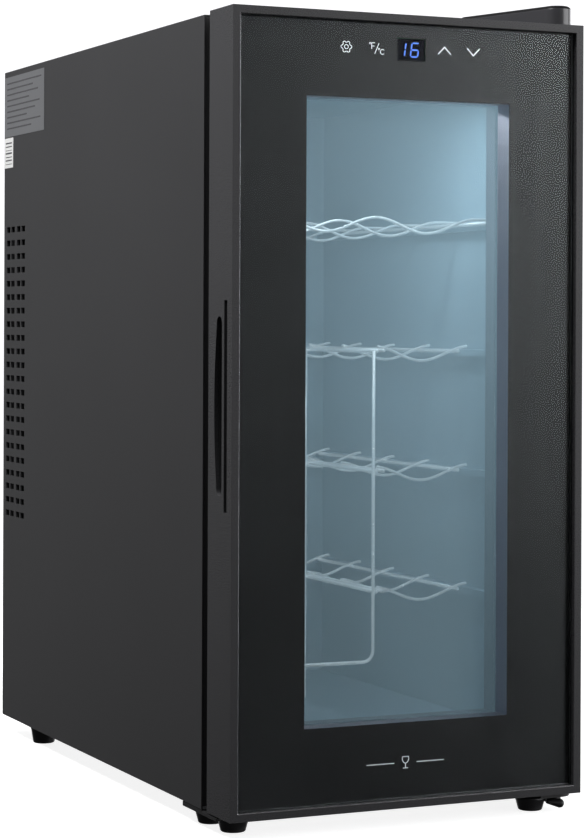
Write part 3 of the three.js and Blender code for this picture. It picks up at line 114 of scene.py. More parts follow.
def between(tree, factor, low, high):
    """A number that runs from low to high with a factor from 0.3 to 0.7."""
    spread = add_node(tree, "ShaderNodeMapRange")
    spread.inputs["From Min"].default_value = 0.3
    spread.inputs["From Max"].default_value = 0.7
    spread.inputs["To Min"].default_value = low
    spread.inputs["To Max"].default_value = high
    tree.links.new(factor, spread.inputs["Value"])
    return spread.outputs["Result"]


def tinted(tree, factor, color, spread):
    """A colour that drifts darker and lighter by a share of itself."""
    mix = add_node(tree, "ShaderNodeMix", data_type="RGBA")
    mix.inputs["A"].default_value = (*[c * (1 - spread) for c in color], 1)
    mix.inputs["B"].default_value = (*[min(1, c * (1 + spread)) for c in color], 1)
    tree.links.new(factor, mix.inputs["Factor"])
    return mix.outputs["Result"]


def bump(tree, height, distance):
    node = add_node(tree, "ShaderNodeBump")
    node.inputs["Distance"].default_value = distance
    tree.links.new(height, node.inputs["Height"])
    return node.outputs["Normal"]


def finish_surface(
    name, color, rough, metal=0.0, grain=900, relief=0.02, spread=0.08, stretch=(1, 1, 1)
):
    """Paint, plastic or metal: a slow drift of colour, a finer drift of gloss, and a fine relief in mm."""
    made, tree, shader = material(name)
    drift = noise(tree, 9, 4)
    fine = noise(tree, grain, 3, stretch)
    tree.links.new(tinted(tree, between(tree, drift, 0, 1), color, spread), shader.inputs["Base Color"])
    tree.links.new(between(tree, fine, rough * 0.88, min(1, rough * 1.12)), shader.inputs["Roughness"])
    tree.links.new(bump(tree, fine, relief * MM), shader.inputs["Normal"])
    shader.inputs["Metallic"].default_value = metal
    return made, tree, shader


def cabinet_paint(name, color, rough, sheen=0.3):
    """Powder-painted steel: a fine orange peel under a satin coat."""
    made, _, shader = finish_surface(name, color, rough, grain=1400, relief=0.012, spread=0.05)
    shader.inputs["Specular IOR Level"].default_value = sheen
    return made


def moulded(name, color, rough=0.5, relief=0.03):
    """Moulded plastic with a fine spark-eroded grain."""
    return finish_surface(name, color, rough, grain=1800, relief=relief, spread=0.06)[0]


def brushed(name, color, rough=0.32, along=(1, 1, 40)):
    return finish_surface(name, color, rough, 1.0, grain=260, relief=0.008, spread=0.05, stretch=along)[0]


def glass(name, tint):
    """Clear glass with an anti-reflective face and faint smears."""
    made, tree, shader = material(name)
    shader.inputs["Base Color"].default_value = (*tint, 1)
    shader.inputs["Transmission Weight"].default_value = 1.0
    shader.inputs["IOR"].default_value = 1.12
    shader.inputs["Metallic"].default_value = 0.0
    smudge = noise(tree, 14, 5)
    tree.links.new(between(tree, smudge, 0.008, 0.02), shader.inputs["Roughness"])
    return made


def glowing(name, color, strength, body=(0.8, 0.8, 0.8)):
    made, _, shader = material(name)
    shader.inputs["Base Color"].default_value = (*body, 1)
    shader.inputs["Emission Color"].default_value = (*color, 1)
    shader.inputs["Emission Strength"].default_value = strength
    shader.inputs["Roughness"].default_value = 0.35
    return made


def haze_and_painted_glow():
    """The inner pane: a thin veil of condensation, with a painted glow from emission that stands in for the
    cabin light scattered in it, stronger up and to the right.
    """
    made, tree, shader = material("haze_and_painted_glow")
    place = add_node(tree, "ShaderNodeTexCoord")
    split = add_node(tree, "ShaderNodeSeparateXYZ")
    tree.links.new(place.outputs["Object"], split.inputs["Vector"])
    low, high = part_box("inner_glass")
    # Painted light: the emission strength rises to the right and upward, a glow that stands in for the
    # cabin light caught in the veil.
    across = ramp(tree, split.outputs["X"], low.x, high.x, 0.8, 1.34)
    painted_glow_upward = ramp(tree, split.outputs["Z"], low.z, high.z, 0.39, 1.25)
    glow = add_node(tree, "ShaderNodeMath", operation="MULTIPLY")
    tree.links.new(across, glow.inputs[0])
    tree.links.new(painted_glow_upward, glow.inputs[1])
    tree.links.new(glow.outputs["Value"], shader.inputs["Emission Strength"])
    shader.inputs["Emission Color"].default_value = (0.172, 0.258, 0.308, 1)
    shader.inputs["Base Color"].default_value = (0.16, 0.2, 0.22, 1)
    shader.inputs["Roughness"].default_value = 0.5
    shader.inputs["Specular IOR Level"].default_value = 0.1
    patches = noise(tree, 7, 4)
    tree.links.new(between(tree, patches, 0.3, 0.35), shader.inputs["Alpha"])
    return made


def ramp(tree, value, start, end, low, high):
    spread = add_node(tree, "ShaderNodeMapRange", interpolation_type="SMOOTHSTEP")
    spread.inputs["From Min"].default_value = start
    spread.inputs["From Max"].default_value = end
    spread.inputs["To Min"].default_value = low
    spread.inputs["To Max"].default_value = high
    tree.links.new(value, spread.inputs["Value"])
    return spread.outputs["Result"]


def mask_print():
    """Black ceramic print, flat and even, which takes a soft sheen through the glass."""
    black = (0.011, 0.0108, 0.0112)
    made, _, shader = finish_surface("mask_print", black, 0.24, grain=30, relief=0.0, spread=0.04)
    shader.inputs["Specular IOR Level"].default_value = 0.3
    return made


def wire_chrome():
    """Bright nickel plate on round wire, with a painted glow from emission that stands in for the cabin
    light it catches from every side.
    """
    nickel = (0.93, 0.97, 0.98)
    made, _, shader = finish_surface("wire_chrome", nickel, 0.25, 0.7, grain=700, relief=0.004)
    # Painted light: a faint emission makes the wires glow though they are no lamp.
    shader.inputs["Emission Color"].default_value = (0.85, 0.96, 1.0, 1)
    shader.inputs["Emission Strength"].default_value = 0.22
    return made


def display_face():
    """The dark window of the display, with a dull face that shows only its own digits."""
    made, _, shader = finish_surface("display_face", (0.002, 0.003, 0.008), 0.6, grain=500, relief=0.0)
    shader.inputs["Specular IOR Level"].default_value = 0.03
    return made


def foam():
    """Foamed insulation with small closed cells."""
    made, tree, shader = material("foam")
    place = add_node(tree, "ShaderNodeTexCoord")
    cells = add_node(tree, "ShaderNodeTexVoronoi")
    cells.inputs["Scale"].default_value = 420
    tree.links.new(place.outputs["Object"], cells.inputs["Vector"])
    color = tinted(tree, cells.outputs["Distance"], (0.72, 0.63, 0.4), 0.12)
    tree.links.new(color, shader.inputs["Base Color"])
    tree.links.new(bump(tree, cells.outputs["Distance"], 0.5 * MM), shader.inputs["Normal"])
    shader.inputs["Roughness"].default_value = 0.9
    return made


def circuit():
    """Green solder mask over tracks that show as a fine raised grid."""
    made, tree, shader = material("circuit_board")
    place = add_node(tree, "ShaderNodeTexCoord")
    tracks = add_node(tree, "ShaderNodeTexBrick")
    tracks.inputs["Scale"].default_value = 160
    tracks.inputs["Mortar Size"].default_value = 0.04
    tracks.inputs["Color1"].default_value = (0.012, 0.11, 0.045, 1)
    tracks.inputs["Color2"].default_value = (0.016, 0.14, 0.06, 1)
    tracks.inputs["Mortar"].default_value = (0.03, 0.24, 0.1, 1)
    tree.links.new(place.outputs["Object"], tracks.inputs["Vector"])
    tree.links.new(tracks.outputs["Color"], shader.inputs["Base Color"])
    tree.links.new(bump(tree, tracks.outputs["Fac"], 0.05 * MM), shader.inputs["Normal"])
    shader.inputs["Roughness"].default_value = 0.35
    return made


MATERIALS = {
    "cabinet_paint": cabinet_paint("cabinet_paint", (0.023, 0.023, 0.0245), 0.4),
    # The door takes the cabinet's paint made a shade lighter, which is painted light for the extra sheen on
    # its sides, with a glossier coat.
    "door_paint": cabinet_paint("door_paint", (0.029, 0.029, 0.031), 0.28, 0.26),
    "galvanised_steel": brushed("galvanised_steel", (0.55, 0.56, 0.58), 0.42),
    "liner_plastic": moulded("liner_plastic", (0.3, 0.4, 0.46), 0.42, 0.004),
    "foam": foam(),
    "black_steel": cabinet_paint("black_steel", (0.009, 0.009, 0.0095), 0.5),
    "black_plastic": moulded("black_plastic", (0.012, 0.012, 0.013), 0.42),
    "rotor_plastic": moulded("rotor_plastic", (0.02, 0.02, 0.022), 0.4),
    "white_plastic": moulded("white_plastic", (0.72, 0.73, 0.73), 0.5),
    "circuit_board": circuit(),
    "winding": brushed("winding", (0.45, 0.2, 0.08), 0.4, (1, 1, 60)),
    "aluminium": brushed("aluminium", (0.72, 0.73, 0.75), 0.34),
    "ceramic_white": moulded("ceramic_white", (0.75, 0.75, 0.73), 0.6),
    "wire_chrome": wire_chrome(),
    "clear_glass": glass("clear_glass", (0.93, 0.97, 0.98)),
    "mask_print": mask_print(),
    "spacer_metal": brushed("spacer_metal", (0.44, 0.4, 0.44), 0.45, (1, 12, 0.2)),
    "door_trim": moulded("door_trim", (0.07, 0.068, 0.085), 0.5),
    "gasket_rubber": moulded("gasket_rubber", (0.01, 0.01, 0.011), 0.7, 0.05),
    "display_face": display_face(),
    "screw_steel": brushed("screw_steel", (0.6, 0.6, 0.6), 0.3),
    "led_lens": glowing("led_lens", (0.8, 0.93, 1.0), 1.6),
}
HAZE_AND_PAINTED_GLOW = haze_and_painted_glow()
LIP_EDGE = brushed("lip_edge", (0.5, 0.5, 0.52), 0.22)
# Two copies of the hinge plastic: lighter walls as painted light, a darker top as painted shade.
HINGE_WALL_PAINTED_LIGHT = moulded("hinge_wall_painted_light", (0.032, 0.032, 0.035), 0.22)
HINGE_TOP_PAINTED_SHADE = cabinet_paint("hinge_top_painted_shade", (0.006, 0.006, 0.0065), 0.6, 0.06)
# Black of painted shade for the liner's flange in the gap behind the gasket.
LINER_FLANGE_SHADE = moulded("liner_flange_painted_shade", (0.012, 0.012, 0.013), 0.5, 0.01)
KEY_PRINT = glowing("key_print", (0.93, 0.96, 1.0), 0.85, (0.7, 0.7, 0.7))
# The emblem is print whose glow is painted light, standing in for the light that would fall on it through
# the glass.
EMBLEM_PAINTED_GLOW = glowing("emblem_print_painted_glow", (0.8, 0.82, 0.85), 0.4, (0.6, 0.6, 0.6))
DIGIT_GLOW = glowing("digit_glow", (0.1, 0.26, 1.0), 1.1, (0.05, 0.1, 0.5))
LABEL_FOIL = brushed("label_foil", (0.5, 0.51, 0.53), 0.4)
LABEL_PAPER = moulded("label_paper", (0.75, 0.75, 0.74), 0.6, 0.01)
LABEL_INK = moulded("label_ink", (0.06, 0.06, 0.065), 0.6, 0.005)

# ---------------------------------------------------------------- making pieces


def piece(name, bm, slot, body, replaced=(), look=None, smooth=True):
    """A new mesh object that rides on a body and stands for some CAD nodes."""
    mesh = bpy.data.meshes.new(name)
    bmesh.ops.recalc_face_normals(bm, faces=bm.faces)
    bm.to_mesh(mesh)
    bm.free()
    for face in mesh.polygons:
        face.use_smooth = smooth
    made = bpy.data.objects.new(name, mesh)
    bpy.context.scene.collection.objects.link(made)
    made.data.materials.append(look or MATERIALS[slot])
    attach(made, body)
    if replaced:
        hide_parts(*replaced)
    return made


def round_edges(made, width, segments=3, angle=35):
    """Rounds the sharp edges of a piece and keeps its flat faces flat."""
    modifier = made.modifiers.new("rounded", "BEVEL")
    modifier.width = width
    modifier.segments = segments
    modifier.limit_method = "ANGLE"
    modifier.angle_limit = math.radians(angle)
    modifier.miter_outer = "MITER_ARC"
    weighted = made.modifiers.new("flat_faces", "WEIGHTED_NORMAL")
    weighted.weight = 100
    weighted.keep_sharp = True
    return made


def cad_mesh(node, joined=True):
    """The mesh of a CAD node with its points welded, and its flat faces joined unless it has slots."""
    bm = bmesh.new()
    bm.from_mesh(frame["nodes"][node].data)
    bmesh.ops.remove_doubles(bm, verts=bm.verts, dist=WELD)
    if joined:
        bmesh.ops.dissolve_limit(bm, angle_limit=FLAT, verts=bm.verts, edges=bm.edges)
    return bm


def refined(node, width, segments=3, look=None, joined=True):
    """A copy of a CAD node with its edges rounded, which stands for the node."""
    made = piece(node + "_shaped", cad_mesh(node, joined), SLOTS[node], BODIES[node], [node], look)
    return round_edges(made, width, segments)


def finished(node):
    """A CAD node that keeps its own mesh and takes its finish."""
    mesh = frame["nodes"][node].data
    mesh.materials.clear()
    mesh.materials.append(MATERIALS[SLOTS[node]])


def box_mesh(bm, low, high):
    made = bmesh.ops.create_cube(bm, size=1)
    low, high = Vector(low), Vector(high)
    size = high - low
    shift = Matrix.Translation((low + high) / 2)
    bmesh.ops.transform(bm, matrix=shift @ Matrix.Diagonal((*size, 1)), verts=made["verts"])
    return made["verts"]


def lathe(profile, centre, steps=48):
    """A turned solid from (radius, height) points, about an upright axis through centre."""
    bm = bmesh.new()
    rings = []
    for step in range(steps):
        angle = 2 * math.pi * step / steps
        spot = (math.cos(angle), math.sin(angle))
        rings.append([bm.verts.new((r * spot[0], r * spot[1], h)) for r, h in profile if r > 0])
    ends = [bm.verts.new((0, 0, h)) for r, h in profile if r == 0]
    closed_low, closed_high = profile[0][0] == 0, profile[-1][0] == 0
    for step in range(steps):
        here, after = rings[step], rings[(step + 1) % steps]
        for low, high in zip(range(len(here) - 1), range(1, len(here))):
            bm.faces.new((here[low], after[low], after[high], here[high]))
        if closed_low:
            bm.faces.new((ends[0], after[0], here[0]))
        if closed_high:
            bm.faces.new((ends[-1], here[-1], after[-1]))
    bmesh.ops.translate(bm, vec=centre, verts=bm.verts)
    return bm


def sweep(bm, points, radius, sides=12):
    """A round wire through a list of points, capped at both ends."""
    points = [Vector(p) for p in points]
    rings = []
    normal = None
    for index, point in enumerate(points):
        ahead = points[min(index + 1, len(points) - 1)] - points[max(index - 1, 0)]
        ahead.normalize()
        if normal is None:
            normal = ahead.orthogonal().normalized()
        normal = (normal - ahead * normal.dot(ahead)).normalized()
        side = ahead.cross(normal)
        ring = []
        for corner in range(sides):
            angle = 2 * math.pi * corner / sides
            ring.append(bm.verts.new(point + radius * (math.cos(angle) * normal + math.sin(angle) * side)))
        rings.append(ring)
    for here, after in zip(rings, rings[1:]):
        for corner in range(sides):
            following = (corner + 1) % sides
            bm.faces.new((here[corner], here[following], after[following], after[corner]))
    bm.faces.new(reversed(rings[0]))
    bm.faces.new(rings[-1])


# ---------------------------------------------------------------- cabinet

def paint_flange_shade():
    """The liner's flange round the door opening is painted black as the shade in the gap behind the door
    gasket, and its cabin is not.
    """
    liner = bpy.data.objects["inner_liner_shaped"]
    liner.data.materials.append(LINER_FLANGE_SHADE)
    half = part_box("top_rack")[1].x + 2.6 * MM
    floor_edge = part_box("bottle_divider")[0].z - 1.2 * MM
    roof_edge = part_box("led_lens")[1].z + 1.2 * MM
    # Faces of the front flange and those outside the cabin take the black of painted shade.
    for face in liner.data.polygons:
        x, _, z = face.center
        if face.normal.y < -0.9 and face.center.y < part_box("inner_liner")[0].y + 1 * MM:
            face.material_index = 1
        elif abs(x) > half or z < floor_edge or z > roof_edge:
            face.material_index = 1


refined("cabinet_shell", 0.4 * MM, joined=False)
refined("bottom_panel", 0.4 * MM, 2)
refined("inner_liner", 1.4 * MM)
paint_flange_shade()
refined("rear_cover", 0.35 * MM, 2, joined=False)
refined("rear_partition", 0.4 * MM, 2)
refined("fan_cover", 1.0 * MM)
refined("mains_inlet", 0.5 * MM, 2)
refined("transformer", 1.0 * MM)
refined("power_board", 0.2 * MM, 2)
refined("led_lens", 0.8 * MM)
refined("temperature_sensor", 0.8 * MM)
for kind in ("heatsink", "fan_frame", "fan_rotor"):
    refined(f"cold_{kind}", 0.35 * MM, 2)
    refined(f"hot_{kind}", 0.35 * MM, 2)
for node in ("insulation_foam", "cold_block", "peltier_module", "led_board", "control_board", "door_core"):
    finished(node)


def foot(node):
    """A turned foot with a soft lower edge, a slight waist under its collar and a recessed base."""
    low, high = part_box(node)
    centre = (low + high) / 2
    top = (high.x - low.x) / 2
    base = top * 0.81
    height = high.z - low.z
    soft = 1.6 * MM
    profile = [(0, 0.6 * MM), (base - 3 * MM, 0.6 * MM), (base - 2.4 * MM, 0)]
    profile += [
        (base - soft + soft * math.sin(a), soft - soft * math.cos(a))
        for a in (math.radians(d) for d in (0, 22.5, 45, 67.5, 90))
    ]
    profile += [(top - 0.5 * MM, height - 2.4 * MM), (top, height - 1.8 * MM), (top, height - 0.4 * MM)]
    profile += [(top - 0.4 * MM, height), (0, height)]
    bm = lathe(profile, (centre.x, centre.y, low.z))
    return piece(node + "_turned", bm, "black_plastic", BODIES[node], [node])


for place in ("front", "cabinet", "rear"):
    foot(f"{place}_foot_left")
    foot(f"{place}_foot_right")

# ---------------------------------------------------------------- screws


def screw(node, facing):
    """A domed screw head with a cross recess, and its shank. It faces a direction along one axis."""
    low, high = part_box(node)
    centre = (low + high) / 2
    facing = Vector(facing)
    axis = max(range(3), key=lambda i: abs(facing[i]))
    seat = (high[axis] if facing[axis] > 0 else low[axis]) - facing[axis] * SCREW_CAP
    end = low[axis] if facing[axis] > 0 else high[axis]
    dome = [
        (SCREW_HEAD * math.cos(a), SCREW_CAP * (0.35 + 0.65 * math.sin(a)))
        for a in (math.radians(d) for d in (0, 15, 30, 45, 60, 75))
    ]
    length = abs(seat - end)
    profile = [(0, -length), (0.5 * SCREW_HEAD, -length), (0.5 * SCREW_HEAD, 0), (SCREW_HEAD, 0), *dome]
    profile += [(0, SCREW_CAP)]
    place = centre.copy()
    place[axis] = seat
    turn = facing.to_track_quat("Z", "Y").to_matrix().to_4x4()
    bm = lathe(profile, (0, 0, 0))
    bmesh.ops.transform(bm, matrix=turn, verts=bm.verts)
    bmesh.ops.translate(bm, vec=place, verts=bm.verts)
    made = piece(node + "_turned", bm, "screw_steel", BODIES[node], [node])
    cutter_mesh = bmesh.new()
    half, width = 0.62 * SCREW_HEAD, 0.16 * SCREW_HEAD
    for a, b in ((half, width), (width, half)):
        box_mesh(cutter_mesh, (-a, -b, 0.35 * SCREW_CAP), (a, b, 2 * SCREW_CAP))
    bmesh.ops.transform(cutter_mesh, matrix=turn, verts=cutter_mesh.verts)
    bmesh.ops.translate(cutter_mesh, vec=place, verts=cutter_mesh.verts)
    return cut_with(made, cutter_mesh)


def cut_with(made, cutter_mesh):
    """Cuts a mesh out of a piece for good, and leaves no cutter behind."""
    mesh = bpy.data.meshes.new("cutter")
    cutter_mesh.to_mesh(mesh)
    cutter_mesh.free()
    cutter = bpy.data.objects.new("cutter", mesh)
    bpy.context.scene.collection.objects.link(cutter)
    modifier = made.modifiers.new("cut", "BOOLEAN")
    modifier.operation = "DIFFERENCE"
    modifier.object = cutter
    modifier.solver = "EXACT"
    modifier.use_self = True
    bpy.context.view_layer.update()
    shaped = made.evaluated_get(bpy.context.evaluated_depsgraph_get())
    result = bpy.data.meshes.new_from_object(shaped)
    made.modifiers.remove(modifier)
    made.data = result
    bpy.data.objects.remove(cutter)
    return made


for number in (1, 2, 3, 4):
    screw(f"rear_cover_screw_{number}", (0, 1, 0))
for number in (1, 2):
    screw(f"upper_hinge_screw_{number}", (0, 0, 1))
    screw(f"lower_hinge_screw_{number}", (0, 0, -1))

# ---------------------------------------------------------------- hinges

def hinge_cover():
    """The moulded cover of the upper hinge, with a broad round rim on its top: satin walls painted lighter
    as lit faces, and a matte top and rim painted darker as shade, two copies of one plastic.
    """
    node = "upper_hinge_cover"
    bm = cad_mesh(node)
    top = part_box(node)[1].z
    rim = [edge for edge in bm.edges if all(abs(vert.co.z - top) < 0.05 * MM for vert in edge.verts)]
    bmesh.ops.bevel(bm, geom=rim, offset=HINGE_RIM, segments=6, profile=0.5, affect="EDGES")
    made = piece(node + "_shaped", bm, "black_plastic", "cabinet", [node], HINGE_WALL_PAINTED_LIGHT)
    made.data.materials.append(HINGE_TOP_PAINTED_SHADE)
    # Upward faces take the darker copy: painted shade on the top and rim.
    for face in made.data.polygons:
        if face.normal.z > 0.15:
            face.material_index = 1
    return round_edges(made, 0.3 * MM, 2, 40)


hinge_cover()
refined("upper_hinge_bracket", 0.5 * MM, 2)
refined("lower_hinge_bracket", 0.8 * MM, 3)
refined("left_foot_bracket", 0.6 * MM, 2)
for node in ("upper_hinge_pin", "lower_hinge_pin", "upper_hinge_bush", "lower_hinge_bush"):
    refined(node, 0.25 * MM, 2)

# ---------------------------------------------------------------- racks


def wave_drop(x, centre, valleys):
    """How far a wave wire lies below its crests."""
    reach = valleys * VALLEY_PITCH / 2
    along = min(max(x - centre, -reach), reach) + reach
    return VALLEY_DEPTH / 2 * (1 - math.cos(2 * math.pi * along / VALLEY_PITCH))


def wire_rack(node, centre, valleys, rods):
    low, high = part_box(node)
    front, back = low.y + CAD_ROD, high.y - CAD_ROD
    level = high.z - CAD_WIRE
    count = round((back - front) / CROSS_WIRE_PITCH) + 1
    bm = bmesh.new()
    for index in range(count):
        y = front + (back - front) * index / (count - 1)
        steps = 36 * valleys
        xs = [low.x + (high.x - low.x) * step / steps for step in range(steps + 1)]
        sweep(bm, [(x, y, level - wave_drop(x, centre, valleys)) for x in xs], WIRE)
    for x in rods:
        z = level - wave_drop(x, centre, valleys) - WIRE - ROD + 0.3 * MM
        sweep(bm, [(x, low.y, z), (x, high.y, z)], ROD)
    piece(node + "_wires", bm, "wire_chrome", BODIES[node], [node])


TOP_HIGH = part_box("top_rack")[1]
SIDE_LOW, SIDE_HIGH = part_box("side_rack_upper")
DIVIDER_LOW, DIVIDER_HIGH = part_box("bottle_divider")
DIVIDER_X = SIDE_LOW.x - 2.8 * MM
RAIL_X = DIVIDER_HIGH.x - CAD_ROD
CAVITY_HALF = TOP_HIGH.x + 1.5 * MM
ROD_X = CAVITY_HALF - 9.8 * MM
SIDE_CENTRE = (DIVIDER_X + CAVITY_HALF) / 2
wire_rack("top_rack", 0, 2, (-ROD_X, ROD_X))
for node in ("side_rack_upper", "side_rack_middle", "side_rack_lower"):
    wire_rack(node, SIDE_CENTRE, 1, (RAIL_X + 2 * CAD_ROD + 0.5 * MM, ROD_X))


def bottle_divider():
    """Uprights, rails and cross bars of the divider, with a bend at the foot of its front upright."""
    front = SIDE_LOW.y + CAD_ROD
    back = SIDE_HIGH.y - 2 * CAD_ROD
    top = DIVIDER_HIGH.z - ROD
    bar = DIVIDER_LOW.z + DIVIDER_BAR_RISE
    corner = [
        (
            DIVIDER_X - DIVIDER_CORNER + DIVIDER_CORNER * math.cos(a),
            front,
            bar + DIVIDER_CORNER - DIVIDER_CORNER * math.sin(a),
        )
        for a in (math.radians(d) for d in range(0, 91, 10))
    ]
    bm = bmesh.new()
    sweep(bm, [(DIVIDER_X, front, top), *corner, (DIVIDER_LOW.x, front, bar)], ROD)
    sweep(bm, [(DIVIDER_X, back, bar), (DIVIDER_LOW.x, back, bar)], ROD)
    for y in (front + DIVIDER_MIDDLE_LEG, back):
        sweep(bm, [(DIVIDER_X, y, top), (DIVIDER_X, y, DIVIDER_LOW.z)], ROD)
    sweep(bm, [(-ROD_X, front, bar), (-ROD_X, back, bar)], ROD)
    for node in ("side_rack_upper", "side_rack_middle", "side_rack_lower"):
        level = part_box(node)[1].z - CAD_WIRE
        z = level - wave_drop(RAIL_X, SIDE_CENTRE, 1) - 2 * WIRE - ROD
        sweep(bm, [(RAIL_X - 0.6 * MM, front, z), (RAIL_X - 0.6 * MM, back, z)], ROD)
    piece("bottle_divider_wires", bm, "wire_chrome", "cabinet", ["bottle_divider"])


bottle_divider()

# ---------------------------------------------------------------- door


def polish_lip():
    """The narrow chamfer round the glass is bare metal."""
    made = bpy.data.objects["door_frame_shaped"]
    made.data.materials.append(LIP_EDGE)
    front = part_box("door_frame")[0].y
    for face in made.data.polygons:
        if face.center.y < front + 0.5 * MM and 0.5 < -face.normal.y < 0.9:
            face.material_index = 1


refined("door_frame", 0.12 * MM, 2)
polish_lip()
refined("handle_cup", 1.2 * MM)
refined("front_glass", 0.6 * MM, 2)
# The inner pane takes the veil with its painted glow.
refined("inner_glass", 0.4 * MM, 2, look=HAZE_AND_PAINTED_GLOW)
refined("glass_spacer", 0.5 * MM, 2)
refined("door_inner_frame", 1.0 * MM)
for node in ("glass_mask", "display_module"):
    finished(node)


def gasket():
    """A bellows section carried round the door as four mitred runs, with its rib in the groove."""
    low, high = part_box("door_gasket")
    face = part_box("door_frame")[1].y
    depth = high.y - face
    width = 17 * MM
    section = [
        (5.5, -4.0), (5.5, 0.4), (0.3, 0.6), (0.0, 1.4), (1.6, 2.6), (1.9, 3.4), (0.4, 4.6), (0.6, 5.6),
        (2.0, 6.4), (2.4, 8.6), (3.2, 9.55), (12.4, 9.55), (14.6, 8.8), (15.0, 6.6), (16.4, 5.4),
        (16.6, 4.4), (15.2, 3.2), (15.4, 2.6), (17.0, 1.2), (16.7, 0.6), (11.5, 0.4), (11.5, -4.0),
    ]
    reach = depth / (9.55 * MM)
    corners = [
        (low.x, low.z, 1, 1),
        (high.x, low.z, -1, 1),
        (high.x, high.z, -1, -1),
        (low.x, high.z, 1, -1),
    ]
    bm = bmesh.new()
    rings = []
    for x, z, inward_x, inward_z in corners:
        ring = []
        for across, out in section:
            step = across / 17.0 * width
            y = face + out * MM * (reach if out > 0 else 1)
            ring.append(bm.verts.new((x + inward_x * step, y, z + inward_z * step)))
        rings.append(ring)
    for index in range(4):
        here, after = rings[index], rings[(index + 1) % 4]
        for a in range(len(section)):
            b = (a + 1) % len(section)
            bm.faces.new((here[a], here[b], after[b], after[a]))
    return piece("door_gasket_bellows", bm, "gasket_rubber", "door", ["door_gasket"], smooth=False)


gasket()

# ---------------------------------------------------------------- printed marks on the door


def ribbon(bm, points, width, closed=False):
    """A flat stroke in the XZ plane, mitred at its corners, a tenth of a millimetre thick."""
    path = [Vector(p) for p in points]
    count = len(path)
    sides = []
    for index, point in enumerate(path):
        before = path[index - 1] if closed or index else point
        after = path[(index + 1) % count] if closed or index < count - 1 else point
        first = (point - before).normalized() if (point - before).length else None
        second = (after - point).normalized() if (after - point).length else None
        first = first or second
        second = second or first
        normal = Vector((-(first.y + second.y), first.x + second.x)).normalized()
        stretch = 1 / max(0.4, normal.dot(Vector((-first.y, first.x))))
        sides.append((point + normal * width / 2 * stretch, point - normal * width / 2 * stretch))
    last = count if closed else count - 1
    for index in range(last):
        (a, b), (c, d) = sides[index], sides[(index + 1) % count]
        flat_face(bm, [a, b, d, c])


def flat_face(bm, outline):
    """A thin plate of the print's thickness from an outline in XZ."""
    front = [bm.verts.new((p[0], PRINT_Y - PRINT, p[1])) for p in outline]
    back = [bm.verts.new((p[0], PRINT_Y, p[1])) for p in outline]
    bm.faces.new(front)
    bm.faces.new(reversed(back))
    for index in range(len(outline)):
        following = (index + 1) % len(outline)
        bm.faces.new((front[index], back[index], back[following], front[following]))


def circle(centre, radius, count=28, start=0.0, end=2 * math.pi):
    steps = count if abs(end - start) >= 2 * math.pi - 1e-6 else count + 1
    return [
        (
            centre[0] + radius * math.cos(start + (end - start) * i / count),
            centre[1] + radius * math.sin(start + (end - start) * i / count),
        )
        for i in range(steps)
    ]


def marks(name, strokes, look, shift):
    bm = bmesh.new()
    for points, width, closed in strokes:
        ribbon(bm, [(shift[0] + x * MM, shift[1] + z * MM) for x, z in points], width * MM, closed)
    return piece(name, bm, "mask_print", "door", look=look, smooth=False)


def gear_outline(lobes=6, radius=3.7, swing=0.5, count=96):
    points = []
    for index in range(count):
        angle = 2 * math.pi * index / count
        reach = radius + swing * math.tanh(2.2 * math.cos(lobes * angle)) / math.tanh(2.2)
        points.append((reach * math.cos(angle), reach * math.sin(angle)))
    return points


GEAR = [(gear_outline(), 0.4, True), (circle((0, 0), 1.5), 0.36, True)]
UNITS = [
    (circle((-5.6, 3.4), 0.6, 16), 0.26, True),
    ([(-4.3, -0.6), (-4.3, 3.8), (-1.7, 3.8)], 0.36, False),
    ([(-4.3, 1.5), (-2.1, 1.5)], 0.36, False),
    ([(-1.9, -4.0), (1.5, 3.8)], 0.32, False),
    (circle((1.5, -0.4), 0.6, 16), 0.26, True),
    (circle((4.3, -2.3), 1.75, 20, math.radians(45), math.radians(315)), 0.36, False),
]
UP = [([(-5.1, -2.5), (0, 2.6), (5.1, -2.5)], 0.75, False)]
DOWN = [([(-5.1, 2.5), (0, -2.6), (5.1, 2.5)], 0.75, False)]
KEY_STEPS = {"gear": -51.6, "units": -27.4, "up": 26.7, "down": 50.2}
marks("key_settings", GEAR, KEY_PRINT, (DISPLAY_X + KEY_STEPS["gear"] * MM, KEY_ROW - 0.3 * MM))
marks("key_units", UNITS, KEY_PRINT, (DISPLAY_X + KEY_STEPS["units"] * MM, KEY_ROW - 0.3 * MM))
marks("key_up", UP, KEY_PRINT, (DISPLAY_X + KEY_STEPS["up"] * MM, KEY_ROW + 0.6 * MM))
marks("key_down", DOWN, KEY_PRINT, (DISPLAY_X + KEY_STEPS["down"] * MM, KEY_ROW + 0.8 * MM))

SEGMENTS = {
    "a": ((-1, 2), (1, 2)),
    "b": ((1, 2), (1, 0)),
    "c": ((1, 0), (1, -2)),
    "d": ((-1, -2), (1, -2)),
    "e": ((-1, 0), (-1, -2)),
    "f": ((-1, 2), (-1, 0)),
    "g": ((-1, 0), (1, 0)),
}


def digit(bm, lit, centre, half_width, half_height, weight, lean=0.14):
    """Seven-segment digit: each lit segment is a bar with pointed ends, and the digit leans."""
    for letter in lit:
        ends = [
            Vector((x * half_width * MM, z * half_height / 2 * MM)) for x, z in SEGMENTS[letter]
        ]
        along = (ends[1] - ends[0]).normalized()
        across = Vector((-along.y, along.x))
        inset = 0.62 * weight * MM
        start, stop = ends[0] + along * inset * 0.55, ends[1] - along * inset * 0.55
        half = across * weight / 2 * MM
        tip = along * weight / 2 * MM
        upper = [start, start + tip + half, stop - tip + half]
        outline = [*upper, stop, stop - tip - half, start + tip - half]
        leaning = [(centre[0] + p.x + p.y * lean, centre[1] + p.y) for p in outline]
        flat_face(bm, leaning)


